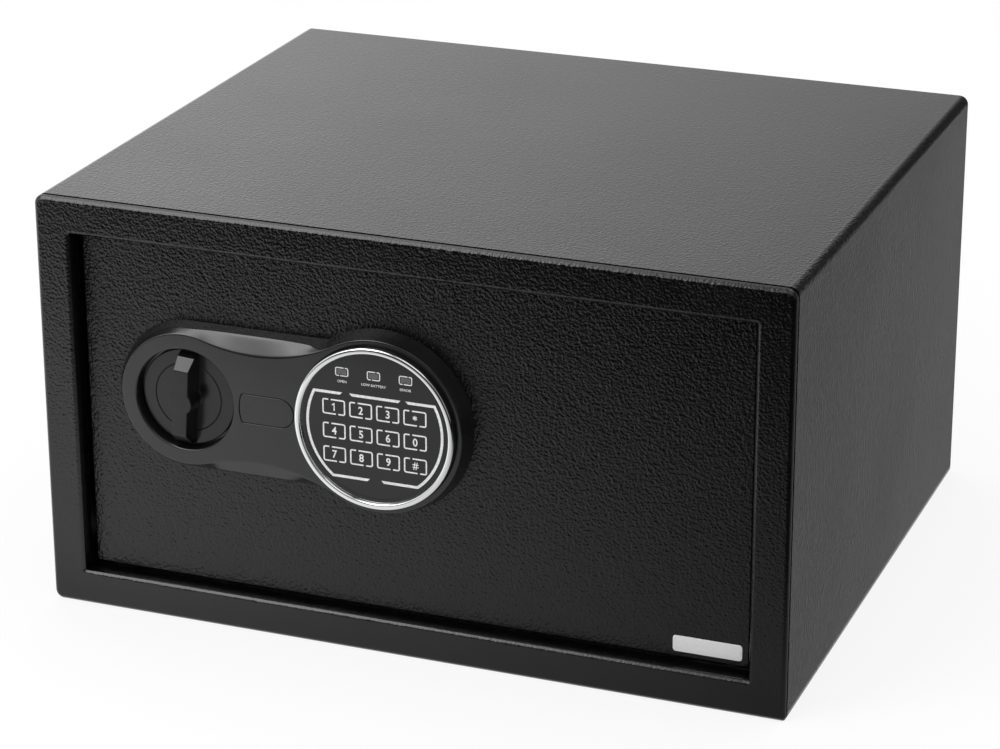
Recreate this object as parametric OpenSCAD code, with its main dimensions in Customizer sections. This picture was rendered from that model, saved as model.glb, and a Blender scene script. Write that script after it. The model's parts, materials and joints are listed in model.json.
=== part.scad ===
// Electronic safe with a knob, a round keypad and two locking bolts.
// The front looks along -Y, +X is to the right and +Z is up. Lengths are in millimetres.
// Depths are measured from the face of the front frame and grow into the safe.

/* [Cabinet] */
// Outside width
body_w = 420; // [400:1:460]
// Outside height
body_h = 235; // [228:1:280]
// Depth from the face of the front frame to the back
body_d = 350; // [280:1:420]
// Thickness of the cabinet's sheet steel
sheet_t = 2; // [1.5:0.1:2.5]
// Outer radius of the four long edges
edge_r = 5; // [4:0.5:8]
// Radius of the edge round the front face
front_edge_r = 2.5; // [1.5:0.1:3]
// Gap of the seam between the front frame and the wrap
seam_gap = 1.2; // [0.4:0.1:1.4]
// Radius of the frame's edge round the door opening
opening_edge_r = 2; // [0.8:0.1:2]
// Width of the face of the front frame
frame_w = 20; // [18:0.5:22]
// Depth of the frame's return at the top, the bottom and the hinge side
lip_d = 12; // [10:0.5:12]
// Depth of the frame's return at the bolt side
bolt_lip_d = 16; // [14:0.5:18]
// Thickness of the floor mat
mat_t = 2.5; // [1.5:0.1:4]

/* [Anchor holes] */
// Radius of each anchor hole
anchor_r = 5; // [4:0.1:7]
// Distance between the anchor holes along the width
anchor_pitch_x = 280; // [200:1:300]
// Distance between the anchor holes along the depth
anchor_pitch_y = 160; // [120:1:200]
// Height of the two anchor holes in the back
back_anchor_z = 150; // [120:1:180]

/* [Door] */
// How far the door lies behind the frame's face
door_recess = 10; // [8:0.5:12]
// Thickness of the door plate
door_t = 4; // [3:0.1:5]
// Gap round the door
door_gap = 2.5; // [2:0.1:3]
// Radius of the hinge pins
hinge_pin_r = 4; // [3:0.1:5]
// Running clearance between a pin or shaft and its hole
run_gap = 0.06; // [0.03:0.01:0.09]

/* [Lock] */
// Height above the middle of the line that the knob, the key and the keypad lie on
lock_rise = 12.8; // [8:0.1:14]
// Distance from the door's free edge to the knob
knob_in = 62.5; // [60:0.5:65]
// Distance from the knob to the keypad
axis_gap = 110.4; // [108:0.1:113]
// Radius of the locking bolts
bolt_r = 8; // [6:0.1:9]
// Room between a locking bolt and the nearest post of the cover
bolt_room = 6.6; // [3:0.1:9]
// Travel of the locking bolts
bolt_stroke = 18; // [14:0.5:19]

/* [Lock housing] */
// Radius round the knob, at the door
knob_end_r = 41.5; // [40.5:0.1:43]
// Radius round the keypad, at the door
pad_end_r = 51.3; // [50.4:0.1:53]
// How far the side wall leans in on its way to the shoulder
wall_draft = 1.7; // [1:0.1:2]
// Depth of the shoulder where the side wall meets the sloped band
shoulder_d = 4; // [3:0.1:5]
// How far the sloped band runs in from the shoulder to the crest
band_w = 2.8; // [2:0.1:3.2]
// Half height of the waist of the front face
waist_half = 30.3; // [28:0.1:33]
// Wall of the moulding
housing_wall = 2.2; // [1.8:0.1:2.4]
// Radius of the knob's well
well_r = 28.4; // [28:0.1:30]

/* [Knob] */
// Radius of the knob's disc
disc_r = 27; // [25:0.1:27.2]
// Depth of the disc's face
disc_d = 5; // [4.5:0.1:5.4]
// How far the grip stands out in front of the frame's face
grip_proud = 6; // [4:0.1:8]
// Width of the grip at its front
grip_w = 8.6; // [7:0.1:10]
// Width of the grip where it meets the disc
grip_base_w = 11.2; // [10.5:0.1:12]
// Lean of the grip when the bolts are drawn back, clockwise in degrees
grip_lean = 4; // [0:1:10]

/* [Keypad] */
// Outer radius of the chrome ring
ring_r = 45; // [44.4:0.1:45.6]
// How far the ring stands out in front of the frame's face
ring_proud = 4; // [3:0.1:4.5]
// Radius of the panel that shows inside the ring
panel_r = 39.9; // [39.5:0.1:40.4]
// Distance between the keys across
key_pitch_x = 15.2; // [14:0.1:16]
// Distance between the key rows
key_pitch_z = 13.4; // [12:0.1:14]

/* [Door cover] */
// Depth of the inner face of the door's cover
cover_back_d = 52; // [50:0.5:60]
// Thickness of the cover's wall
cover_t = 1.8; // [1.5:0.1:2.2]
// Radius of a battery cell
cell_r = 7.1; // [7:0.05:7.2]
// Length of a battery cell
cell_len = 50.5; // [50:0.1:51]

/* [Hidden] */
fine = 96;
tiny = 0.01;

// Where the face of the front frame lies, so that the whole part is centred along Y
front_y = -(body_d - grip_proud) / 2;

// Opening of the frame and outline of the door
open_w = body_w - 2 * frame_w;
open_h = body_h - 2 * frame_w;
open_x = open_w / 2;
open_low = frame_w;
open_top = body_h - frame_w;
door_w = open_w - 2 * door_gap;
door_h = open_h - 2 * door_gap;
door_x = door_w / 2;
door_low = open_low + door_gap;
door_back = door_recess + door_t;
body_mid_z = body_h / 2;
lock_z = body_mid_z + lock_rise;
knob_x = -door_x + knob_in;
keypad_x = knob_x + axis_gap;
frame_front_t = 3;
frame_flange_d = 14;

// Hinge line, behind the door plate and in from its edge
hinge_in = 10.5;
hinge_x = door_x - hinge_in;
hinge_behind = 6;
hinge_d = door_back + hinge_behind;
hinge_room = 19;
bracket_t = 3;
bracket_back = 16;
bracket_tab_h = 11;
hinge_block_h = 15.5;
hinge_block_back = 7;
pin_in = 13;
pin_out = 7;

// Cover of the door's back and its posts
cover_edge = 12;
cover_half = door_h / 2 - cover_edge;
post_r = 4;
post_corner_r = post_r / cos(30);
post_in = 9;
cover_screw_r = 1.6;
cover_screw_len = 12;

// Bolts and the carriage that carries them
bolt_rise = cover_half - post_in - post_corner_r - bolt_room - bolt_r;
bolt_pitch = 2 * (bolt_rise - lock_rise);
bolt_play = 1;
bolt_d = bolt_lip_d + bolt_play + bolt_r;
bolt_tip_in = 1;
guide_t = 3;
guide_in = 3.5;
guide_foot = 10;
guide_end = 20;
guide_x = -door_x + guide_in;
bolt_tip_x = guide_x + bolt_tip_in;
carriage_t = 2.5;
carriage_room = 4;
carriage_d = door_back + carriage_room;
flange_in = 37.5;
flange_x = -door_x + flange_in;
carriage_reach = 25;
carriage_right = knob_x + carriage_reach;
carriage_half = 26;
stud_r = 3;
stud_head_r = 5;
stud_in = 13;
stud_x = knob_x - stud_in;
stud_z = 19.5;
slide_gap = 0.1;
crank_r = bolt_stroke / sqrt(2);
crank_pin_r = 2.5;
crank_pin_x = knob_x + crank_r * sin(45);
crank_slot_gap = 0.6;

// Solenoid below the carriage: its plunger rises into the gap beside the tooth
plunger_in = 7;
plunger_x = knob_x + plunger_in;
plunger_behind = 8;
plunger_d = door_back + plunger_behind;
plunger_r = 3.5;
plunger_travel = 4.5;
tooth_h = 5;
tooth_w = 6;
tooth_gap = 3.5;
tooth_low = lock_z - carriage_half - tooth_h;
tooth_room = 2;
plunger_top = tooth_low - tooth_room;
plunger_proud = 8;
solenoid_top = plunger_top - plunger_proud;
solenoid_h = 30;
solenoid_w = 26;
solenoid_wall = 1.5;
coil_r = plunger_d - door_back - solenoid_wall - 0.1;
coil_dip = 0.8;
clip_t = 1;
clip_dip = 3;
spring_wire = 0.5;
spring_turns = 4;

// Lock housing: radii at the shoulder and the crest, and the arc of its waist
knob_shoulder_r = knob_end_r - wall_draft;
pad_shoulder_r = pad_end_r - wall_draft;
knob_crest_r = knob_shoulder_r - band_w;
pad_crest_r = pad_shoulder_r - band_w / 2;
ledge_d = 1.2;
board_ledge_d = 2.6;
well_floor_d = 8;
well_floor_t = 1;
housing_boss_r = 3.8;
housing_screw_r = 1.5;
knob_screw_r = 35.2;
bridge_screw_in = 63;
bridge_screw_rise = 29;
pad_screw_r = 44.2;
bridge_x = knob_x + bridge_screw_in;
screw_spots = [[knob_x - knob_screw_r, lock_z], [bridge_x, lock_z + bridge_screw_rise],
    [bridge_x, lock_z - bridge_screw_rise], [keypad_x + pad_screw_r, lock_z]];

// Cover of the emergency key
key_end_r = 8;
key_end_in = 55.4;
key_end_x = knob_x + key_end_in;
key_cover_len = 23.2;
key_cover_t = 2;
key_gap = 0.35;
key_in = 47.8;
key_x = knob_x + key_in;
barrel_r = 5.5;
plug_r = 4.2;
plug_square = 5;
plug_back = 16.3;
key_hole_r = 7.2;

// Spindle of the knob
spindle_r = 5;
spindle_square = 7;
spindle_clip_r = 8;
crank_t = 2.8;
crank_d = door_back + 0.6;

// Cover of the door's back, its screws and what it holds
cover_gap = 0.4;
cover_left = guide_x + guide_t + guide_foot + cover_gap;
cover_right = hinge_x - hinge_room;
cover_mid_z = body_mid_z;
cover_mid_x = (cover_left + cover_right) / 2;
cover_w = cover_right - cover_left;
cell_gap = 1.2;
cell_pitch = 2 * cell_r + cell_gap;
cell_count = 4;
contact_room = 5;
tray_in = 66;
tray_drop = 12;
tray_x = cover_right - tray_in;
tray_z = body_mid_z - tray_drop;
tray_w = cell_count * cell_pitch + 2;
tray_h = cell_len + 2 * contact_room;
tray_room = 5;
tray_floor_d = cover_back_d - 2 * cell_r - tray_room;
cell_lift = 0.6;
cell_d = tray_floor_d + cell_r + cell_lift;
lid_t = 1.6;
lid_edge = 3;
reset_in = 20;
reset_rise = 44;
reset_x = cover_right - reset_in;
reset_z = body_mid_z + reset_rise;
reset_r = 3.5;
reset_flange_in = 8.5;
reset_travel = 1.8;
door_hole_r = 9;

// Keypad: depth of its panel, places of its keys and lights, and its sounder
panel_d = -1.8;
panel_lap = 0.9;
key_top = 9.4;
led_pitch = 17.8;
led_rise = 29.7;
buzzer_r = 6;
buzzer_x = keypad_x + 20;
buzzer_z = lock_z - 6;

// Turns a depth into a place along Y
module at_front() {
    translate([0, front_y, 0]) children();
}

// Plate with its outline in the X-Z plane, from one depth to another
module slab(d0, d1) {
    translate([0, d1, 0]) rotate([90, 0, 0]) linear_extrude(d1 - d0) children();
}

// Round bar along the depth
module bar(x, z, r, d0, d1) {
    slab(d0, d1) translate([x, z]) circle(r, $fn = fine);
}

// Profile of radius and depth, turned about a line through x and z along the depth
module turned(x, z) {
    translate([x, 0, z]) rotate([-90, 0, 0]) rotate_extrude($fn = fine) children();
}

// Box between two corners given as [x, depth, z]
module block(low, high) {
    translate(low) cube(high - low);
}

// Rectangle with round corners, centred on the origin
module soft_rect(w, h, r) {
    square([w - 2 * r, h], center = true);
    square([w, h - 2 * r], center = true);
    for (sx = [-1, 1], sz = [-1, 1])
        translate([sx * (w / 2 - r), sz * (h / 2 - r)]) circle(r, $fn = fine);
}

// Rectangle of a width and a depth, round at its two front corners
module soft_front(w, d, r) {
    intersection() {
        union() {
            translate([-w / 2, r]) square([w, d - r]);
            translate([-w / 2 + r, 0]) square([w - 2 * r, d]);
            for (sx = [-1, 1])
                translate([sx * (w / 2 - r), r]) circle(r, $fn = fine);
        }
        translate([-w / 2 - 1, 0]) square([w + 2, d]);
    }
}

// Profile of a plate's edge, from its middle out to a round front corner
module edge_profile(w, d, r) {
    intersection() {
        union() {
            translate([0, r]) square([w, d - r]);
            square([w - r, d]);
            translate([w - r, r]) circle(r, $fn = fine);
        }
        square([w + 1, d]);
    }
}

// Quarter of a round plate with a round front edge
module soft_corner(x, z, r, d, front_r) {
    intersection() {
        turned(x, z) edge_profile(r, d, front_r);
        block([x, -1, z], [x + r + 1, d + 1, z + r + 1]);
    }
}

// Plate with round corners, centred at a height, whose front edge is rounded all the way round
module soft_plate(w, h, mid_z, d0, d1, corner_r, front_r) {
    in_x = w / 2 - corner_r;
    in_z = h / 2 - corner_r;
    t = d1 - d0;
    translate([0, d0, mid_z]) {
        translate([-in_x, 0, 0]) rotate([0, 90, 0]) linear_extrude(2 * in_x)
            soft_front(h, t, front_r);
        for (sx = [0, 1]) mirror([sx, 0, 0]) {
            translate([in_x, 0, -in_z]) linear_extrude(2 * in_z) edge_profile(corner_r, t, front_r);
            for (sz = [0, 1]) mirror([0, 0, sz])
                soft_corner(in_x, in_z, corner_r, t, front_r);
        }
    }
}

// Slot with round ends along the width, from one stud place to the next
module slot_2d(x0, x1, z, r) {
    for (x = [x0, x1])
        translate([x, z]) circle(r, $fn = fine);
    translate([x0, z - r]) square([x1 - x0, 2 * r]);
}

// Round tube swept along a list of points, with eight sides
function unit(v) = v / norm(v);
function heading(p, i) = unit(p[min(i + 1, len(p) - 1)] - p[max(i - 1, 0)]);
function side_of(t) = unit(cross(t, abs(t[2]) < 0.9 ? [0, 0, 1] : [1, 0, 0]));
function ring_at(p, i, r, n) = let (t = heading(p, i), u = side_of(t), v = cross(t, u))
    [for (k = [0 : n - 1]) p[i] + r * (cos(360 * k / n) * u + sin(360 * k / n) * v)];
module swept_tube(p, r, n = 8) {
    count = len(p);
    polyhedron(
        points = [for (i = [0 : count - 1]) each ring_at(p, i, r, n)],
        faces = concat(
            [[for (k = [0 : n - 1]) k]],
            [for (i = [0 : count - 2], k = [0 : n - 1])
                let (a = i * n + k, b = i * n + (k + 1) % n) [a + n, b + n, b]],
            [for (i = [0 : count - 2], k = [0 : n - 1])
                let (a = i * n + k, b = i * n + (k + 1) % n) [a + n, b, a]],
            [[for (k = [n - 1 : -1 : 0]) (count - 1) * n + k]]));
}

// Waist of the housing's front face: an arc that meets the knob's and the keypad's crest
// circles smoothly. Its centre lies waist_root to the right of the knob.
bridge_steps = 16;
waist_k = (pad_crest_r - waist_half) / (knob_crest_r - waist_half);
waist_a = 1 - waist_k;
waist_c = axis_gap * axis_gap - (pad_crest_r * pad_crest_r - waist_half * waist_half)
    + waist_k * (knob_crest_r * knob_crest_r - waist_half * waist_half);
waist_root = (axis_gap - sqrt(axis_gap * axis_gap - waist_a * waist_c)) / waist_a;
waist_r = (waist_root * waist_root - knob_crest_r * knob_crest_r + waist_half * waist_half)
    / (2 * (knob_crest_r - waist_half));
knob_touch = waist_root * knob_crest_r / (knob_crest_r + waist_r);
pad_touch = axis_gap + (waist_root - axis_gap) * pad_crest_r / (pad_crest_r + waist_r);
function crest_z(x) =
    x < knob_touch ? sqrt(knob_crest_r * knob_crest_r - x * x) :
    x < pad_touch ? waist_half + waist_r - sqrt(waist_r * waist_r - pow(x - waist_root, 2)) :
    crest_z(pad_touch - tiny) - tiny;

// Top of the bridge between the two ends: straight at the shoulder, waisted at the crest
module bridge_band() {
    last = bridge_steps;
    step = (pad_touch + 3) / last;
    polyhedron(
        points = [for (i = [0 : last], q = [[shoulder_d, knob_shoulder_r], [0, crest_z(i * step)],
            [0, -crest_z(i * step)], [shoulder_d, -knob_shoulder_r]])
            [knob_x + i * step, q[0], lock_z + q[1]]],
        faces = concat(
            [[0, 1, 2, 3]],
            [[for (k = [3 : -1 : 0]) 4 * last + k]],
            [for (i = [0 : last - 1], f = [[1, 0, 4], [1, 4, 5], [2, 1, 5], [2, 5, 6],
                [3, 2, 6], [3, 6, 7], [0, 3, 7], [0, 7, 4]]) [for (k = f) 4 * i + k]]));
}

// Closed outside of the lock housing: half a round end, the bridge and the keypad's round end
module housing_shell() {
    base = door_recess;
    intersection() {
        turned(knob_x, lock_z) polygon([[0, 0], [knob_crest_r, 0],
            [knob_shoulder_r, shoulder_d], [knob_end_r, base], [0, base]]);
        block([knob_x - 2 * knob_end_r, -1, lock_z - 2 * knob_end_r],
            [knob_x, base + 1, lock_z + 2 * knob_end_r]);
    }
    translate([knob_x, 0, lock_z]) rotate([90, 0, 90]) linear_extrude(pad_touch + 3)
        polygon([[shoulder_d, knob_shoulder_r], [base, knob_end_r], [base, -knob_end_r],
            [shoulder_d, -knob_shoulder_r]]);
    bridge_band();
    turned(keypad_x, lock_z) polygon([[0, 0], [pad_crest_r, 0], [pad_shoulder_r, shoulder_d],
        [pad_end_r, base], [0, base]]);
}

// Room behind the housing's face, round the walls and bosses that stay
module housing_hollow() {
    w = housing_wall;
    top_d = shoulder_d + 0.6;
    deep = door_recess + 1;
    difference() {
        union() {
            bar(knob_x, lock_z, knob_shoulder_r - w, top_d, deep);
            block([knob_x, top_d, lock_z - knob_shoulder_r + 1.5 * w],
                [keypad_x - pad_crest_r / 2, deep, lock_z + knob_shoulder_r - 1.5 * w]);
            bar(keypad_x, lock_z, pad_crest_r - w, top_d + 0.4, deep);
        }
        bar(knob_x, lock_z, well_r + w, 0, door_recess + 2);
        bar(key_x, lock_z, key_hole_r + w, 0, door_recess + 2);
        for (s = screw_spots)
            bar(s[0], s[1], housing_boss_r, 0, door_recess + 2);
    }
}

// Four walls of the cabinet, folded from one sheet
module body_wrap() {
    color("#26272a") at_front() difference() {
        slab(frame_front_t + seam_gap, body_d) translate([0, body_mid_z]) soft_rect(body_w, body_h, edge_r);
        slab(frame_front_t - 1, body_d + 1) translate([0, body_mid_z])
            soft_rect(body_w - 2 * sheet_t, body_h - 2 * sheet_t, edge_r - sheet_t);
        floor_anchor_bars(anchor_r);
    }
}

module floor_anchor_bars(r) {
    mid_d = body_d / 2;
    for (sx = [-1, 1], sy = [-1, 1])
        translate([sx * anchor_pitch_x / 2, mid_d + sy * anchor_pitch_y / 2, -1])
            cylinder(h = sheet_t + mat_t + 2, r = r, $fn = fine);
}

// What rounds off the lower left quarter of the opening's edge, mirrored for the others
module opening_strip_x(x0, x1) {
    e = opening_edge_r;
    difference() {
        block([x0, -1, open_low - e], [x1, e, open_low + 1]);
        translate([x0 - 1, e, open_low - e]) rotate([0, 90, 0])
            cylinder(h = x1 - x0 + 2, r = e, $fn = fine);
    }
}

module opening_strip_z(z0, z1) {
    e = opening_edge_r;
    difference() {
        block([-open_x - e, -1, z0], [-open_x + 1, e, z1]);
        translate([-open_x - e, e, z0 - 1]) cylinder(h = z1 - z0 + 2, r = e, $fn = fine);
    }
}

module opening_quarter() {
    opening_strip_x(-open_x, 1);
    opening_strip_z(open_low, body_mid_z + 1);
    intersection() {
        opening_strip_x(-open_x - opening_edge_r - 1, -open_x + 1);
        opening_strip_z(open_low - opening_edge_r - 1, open_low + 1);
    }
}

module opening_round() {
    opening_quarter();
    mirror([1, 0, 0]) opening_quarter();
    translate([0, 0, body_h]) mirror([0, 0, 1]) {
        opening_quarter();
        mirror([1, 0, 0]) opening_quarter();
    }
}

// Pressed frame round the door: a face, a flange inside the wrap and a return round the opening
module front_frame() {
    color("#26272a") at_front() difference() {
        front_frame_solid();
        opening_round();
    }
}

module front_frame_solid() {
    union() {
        difference() {
            union() {
                soft_plate(body_w, body_h, body_mid_z, 0, frame_front_t, edge_r, front_edge_r);
                slab(frame_front_t - tiny, frame_flange_d) translate([0, body_mid_z])
                    soft_rect(body_w - 2 * sheet_t, body_h - 2 * sheet_t, edge_r - sheet_t);
            }
            slab(sheet_t, frame_flange_d + 1) translate([0, body_mid_z])
                soft_rect(body_w - 4 * sheet_t, body_h - 4 * sheet_t, 1);
            slab(-1, frame_flange_d + 1) translate([0, body_mid_z])
                square([open_w, open_h], center = true);
        }
        difference() {
            union() {
                slab(sheet_t - tiny, lip_d) translate([0, body_mid_z])
                    square([open_w + 2 * sheet_t, open_h + 2 * sheet_t], center = true);
                block([-open_x - sheet_t, lip_d - tiny, open_low - sheet_t],
                    [-open_x, bolt_lip_d, open_top + sheet_t]);
            }
            slab(-1, bolt_lip_d + 1) translate([0, body_mid_z])
                square([open_w, open_h], center = true);
        }
    }
}

// Back plate with its flange, inside the wrap
module back_panel() {
    inner_w = body_w - 2 * sheet_t;
    inner_h = body_h - 2 * sheet_t;
    flange_d = 12;
    color("#26272a") at_front() difference() {
        slab(body_d - flange_d, body_d) translate([0, body_mid_z])
            soft_rect(inner_w, inner_h, edge_r - sheet_t);
        slab(body_d - flange_d - 1, body_d - sheet_t) translate([0, body_mid_z])
            square([inner_w - 2 * sheet_t, inner_h - 2 * sheet_t], center = true);
        for (sx = [-1, 1])
            bar(sx * anchor_pitch_x / 2, back_anchor_z, anchor_r, body_d - 2 * flange_d, body_d + 1);
    }
}

// One hinge bracket, welded behind the frame and to the side wall. It is drawn for the
// bottom and mirrored for the top.
module hinge_bracket() {
    frame_in = body_w / 2 - 2 * sheet_t;
    wall_in = body_w / 2 - sheet_t;
    back_d = hinge_d + bracket_back;
    difference() {
        union() {
            block([hinge_x - hinge_room, lip_d, open_low - bracket_t], [frame_in, back_d, open_low]);
            block([wall_in - bracket_t, frame_flange_d + 0.2, open_low - bracket_tab_h],
                [wall_in, back_d, open_low]);
        }
        translate([hinge_x, hinge_d, open_low - bracket_t - 1])
            cylinder(h = bracket_t + 2, r = hinge_pin_r + run_gap, $fn = fine);
    }
}

module hinge_brackets() {
    color("#2c2d30") at_front() {
        hinge_bracket();
        translate([0, 0, body_h]) mirror([0, 0, 1]) hinge_bracket();
    }
}

// Washer that carries the door on the lower bracket
module hinge_washer() {
    washer_t = door_gap - 0.2;
    color("#2c2d30") at_front() translate([hinge_x, hinge_d, open_low]) difference() {
        cylinder(h = washer_t, r = hinge_pin_r + 1.9, $fn = fine);
        translate([0, 0, -1]) cylinder(h = washer_t + 2, r = hinge_pin_r + 0.3, $fn = fine);
    }
}

// Mat on the floor, cut out round the anchor holes
module floor_mat() {
    margin = 3;
    washer_room = 7;
    mat_w = body_w - 2 * sheet_t - 2 * margin;
    front_d = frame_flange_d + margin;
    back_d = body_d - 12 - margin;
    color("#3a3b3d") at_front() difference() {
        block([-mat_w / 2, front_d, sheet_t], [mat_w / 2, back_d, sheet_t + mat_t]);
        floor_anchor_bars(anchor_r + washer_room);
    }
}

// Door plate with the holes for the spindle, the emergency key, the leads and the screws
module door_plate() {
    color("#202124") at_front() difference() {
        soft_plate(door_w, door_h, body_mid_z, door_recess, door_back, 2, 0.8);
        bar(knob_x, lock_z, spindle_r + run_gap, door_recess - 1, door_back + 1);
        bar(key_x, lock_z, barrel_r + 0.2, door_recess - 1, door_back + 1);
        bar(keypad_x, lock_z, door_hole_r, door_recess - 1, door_back + 1);
        for (s = screw_spots)
            bar(s[0], s[1], housing_screw_r + 0.4, door_recess - 1, door_back + 1);
    }
}

// Blocks welded behind the door plate that hold the hinge pins
module hinge_block() {
    half_w = hinge_in - 0.5;
    difference() {
        block([hinge_x - half_w, door_back, door_low],
            [hinge_x + half_w, hinge_d + hinge_block_back, door_low + hinge_block_h]);
        translate([hinge_x, hinge_d, door_low - 1])
            cylinder(h = pin_in + 1, r = hinge_pin_r, $fn = fine);
    }
}

module hinge_blocks() {
    color("#2c2d30") at_front() {
        hinge_block();
        translate([0, 0, body_h]) mirror([0, 0, 1]) hinge_block();
    }
}

module hinge_pin() {
    translate([hinge_x, hinge_d, door_low - door_gap - pin_out])
        cylinder(h = pin_out + door_gap + pin_in, r = hinge_pin_r, $fn = fine);
}

module hinge_pins() {
    color("#2c2d30") at_front() {
        hinge_pin();
        translate([0, 0, body_h]) mirror([0, 0, 1]) hinge_pin();
    }
}

// Angle at the door's free edge that the bolts slide in
module bolt_guide() {
    half = bolt_pitch / 2 + guide_end;
    color("#9a9da1") at_front() difference() {
        union() {
            block([guide_x, door_back, lock_z - half],
                [guide_x + guide_t, bolt_d + bolt_r + 3, lock_z + half]);
            block([guide_x + guide_t - tiny, door_back, lock_z - half],
                [guide_x + guide_t + guide_foot, door_back + 2, lock_z + half]);
        }
        for (s = [-1, 1])
            translate([guide_x - 1, bolt_d, lock_z + s * bolt_pitch / 2]) rotate([0, 90, 0])
                cylinder(h = guide_t + 2, r = bolt_r + run_gap, $fn = fine);
    }
}

// Shouldered studs that the carriage runs on
module guide_studs() {
    color("#b9bcc0") at_front() for (s = [-1, 1]) {
        z = lock_z + s * stud_z;
        bar(stud_x, z, stud_head_r, door_back, carriage_d - 0.2);
        bar(stud_x, z, stud_r, carriage_d - 0.2 - tiny, carriage_d + carriage_t + 1.6);
    }
}

module stud_clips() {
    color("#8d9094") at_front() for (s = [-1, 1]) difference() {
        bar(stud_x, lock_z + s * stud_z, stud_r + 2.5,
            carriage_d + carriage_t + 0.3, carriage_d + carriage_t + 0.3 + clip_t);
        bar(stud_x, lock_z + s * stud_z, stud_r, carriage_d, carriage_d + carriage_t + 3);
    }
}

// Outline of the emergency key's cover: a round end, and an arc about that end's centre
module key_cover_2d(grow) {
    intersection() {
        translate([key_end_x, lock_z]) circle(key_cover_len + grow, $fn = fine);
        union() {
            translate([key_end_x, lock_z]) circle(key_end_r + grow, $fn = fine);
            translate([key_end_x - key_cover_len - 5, lock_z - key_end_r - grow])
                square([key_cover_len + 5, 2 * (key_end_r + grow)]);
        }
    }
}

// Moulded housing: two round ends with a waist, a sloped band round the crest, and a hollow back
module lock_housing() {
    color("#141416") at_front() difference() {
        housing_shell();
        housing_hollow();
        bar(knob_x, lock_z, well_r, -1, well_floor_d);
        bar(knob_x, lock_z, spindle_clip_r, 0, door_recess + 1);
        bar(knob_x, lock_z, spindle_clip_r + 1, well_floor_d + well_floor_t, door_recess + 2);
        slab(-1, key_cover_t + 0.2) key_cover_2d(key_gap);
        bar(key_x, lock_z, key_hole_r, 0, door_recess + 1);
        bar(keypad_x, lock_z, ring_r + 0.2, -1, ledge_d);
        bar(keypad_x, lock_z, panel_r + 1.2, 0, board_ledge_d);
        bar(keypad_x, lock_z, panel_r - 2.4, 1, door_recess + 2);
        for (s = screw_spots)
            bar(s[0], s[1], housing_screw_r, shoulder_d + 1, door_recess + 2);
    }
}

// Screws that hold the housing from behind the door
module housing_screws() {
    color("#b9bcc0") at_front() for (s = screw_spots) {
        bar(s[0], s[1], housing_screw_r, shoulder_d + 1, door_back + tiny);
        bar(s[0], s[1], housing_screw_r + 1.8, door_back, door_back + 2.2);
    }
}

// Chrome ring: an outer flank, a round crest and a wide inner bevel down to the panel
module chrome_ring() {
    lip_t = 0.2;
    color("#d8dadd") at_front() turned(keypad_x, lock_z) polygon([
        [ring_r, ledge_d], [ring_r, -0.4], [ring_r - 0.4, -ring_proud + 1.5],
        [ring_r - 1, -ring_proud + 0.4], [ring_r - 1.7, -ring_proud],
        [ring_r - 2.4, -ring_proud + 0.3], [panel_r, panel_d - lip_t], [panel_r, panel_d],
        [panel_r + 1, panel_d], [panel_r + 1, ledge_d]]);
}

// Glossy front panel of the keypad
module keypad_panel() {
    color("#101012") at_front() bar(keypad_x, lock_z, panel_r + panel_lap, panel_d, 0);
}

// Places of the keys and of the status lights on the panel
function key_spot(i, j) = [keypad_x + (i - 1.5) * key_pitch_x, lock_z + key_top - j * key_pitch_z];
function led_spot(i) = [keypad_x + (i - 1) * led_pitch, lock_z + led_rise];

// Film with one dome under each key
module key_membrane() {
    sheet_d = 0.65;
    color("#55575b") at_front() {
        difference() {
            bar(keypad_x, lock_z, panel_r + panel_lap, sheet_d, 1);
            for (i = [0 : 2])
                slab(0, 2) translate(led_spot(i)) square([5, 3], center = true);
        }
        for (i = [0 : 3], j = [0 : 2])
            turned(key_spot(i, j)[0], key_spot(i, j)[1])
                polygon([[0, 0.15], [2.4, 0.25], [4, sheet_d + tiny], [0, sheet_d + tiny]]);
    }
}

// Circuit board behind the film, with a chip, a plug and five small parts on the back
module keypad_board() {
    small_pitch = 7;
    color("#1f5a38") at_front() {
        bar(keypad_x, lock_z, panel_r + 1, 1, board_ledge_d);
        board_part(-20, -2, 12, 12, 2);
        board_part(1, -27, 18, 6, 5.5);
        for (i = [0 : 4])
            board_part(-20.25 + small_pitch * i, 15, 3.5, 2, 1.2);
    }
}

// Part on the board, placed from the keypad's middle
module board_part(x, z, w, h, tall) {
    slab(board_ledge_d - tiny, board_ledge_d + tall)
        translate([keypad_x + x, lock_z + z]) square([w, h], center = true);
}

module status_leds() {
    color("#9fb7a6") at_front() for (i = [0 : 2])
        slab(0.2, 1) translate(led_spot(i)) square([4.2, 2.2], center = true);
}

// Sounder on the back of the board
module buzzer() {
    tall = 6;
    color("#19191b") at_front() turned(buzzer_x, buzzer_z) polygon([
        [0, board_ledge_d], [buzzer_r, board_ledge_d], [buzzer_r, board_ledge_d + tall],
        [1, board_ledge_d + tall], [1, board_ledge_d + tall - 1], [0, board_ledge_d + tall - 1]]);
}

// Solenoid frame, bent round the coil and fixed to the door plate
module solenoid_frame() {
    x0 = plunger_x - solenoid_w / 2;
    x1 = plunger_x + solenoid_w / 2;
    z0 = solenoid_top - solenoid_h;
    d1 = plunger_d + 8;
    w = solenoid_wall;
    color("#a2a5a9") at_front() difference() {
        block([x0, door_back, z0], [x1, d1, solenoid_top]);
        block([x0 - 1, door_back + w, z0 + w], [x1 + 1, d1 + 1, solenoid_top - w]);
        translate([plunger_x, plunger_d, z0 - 1])
            cylinder(h = solenoid_h + 2, r = plunger_r + 0.3, $fn = fine);
    }
}

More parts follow.
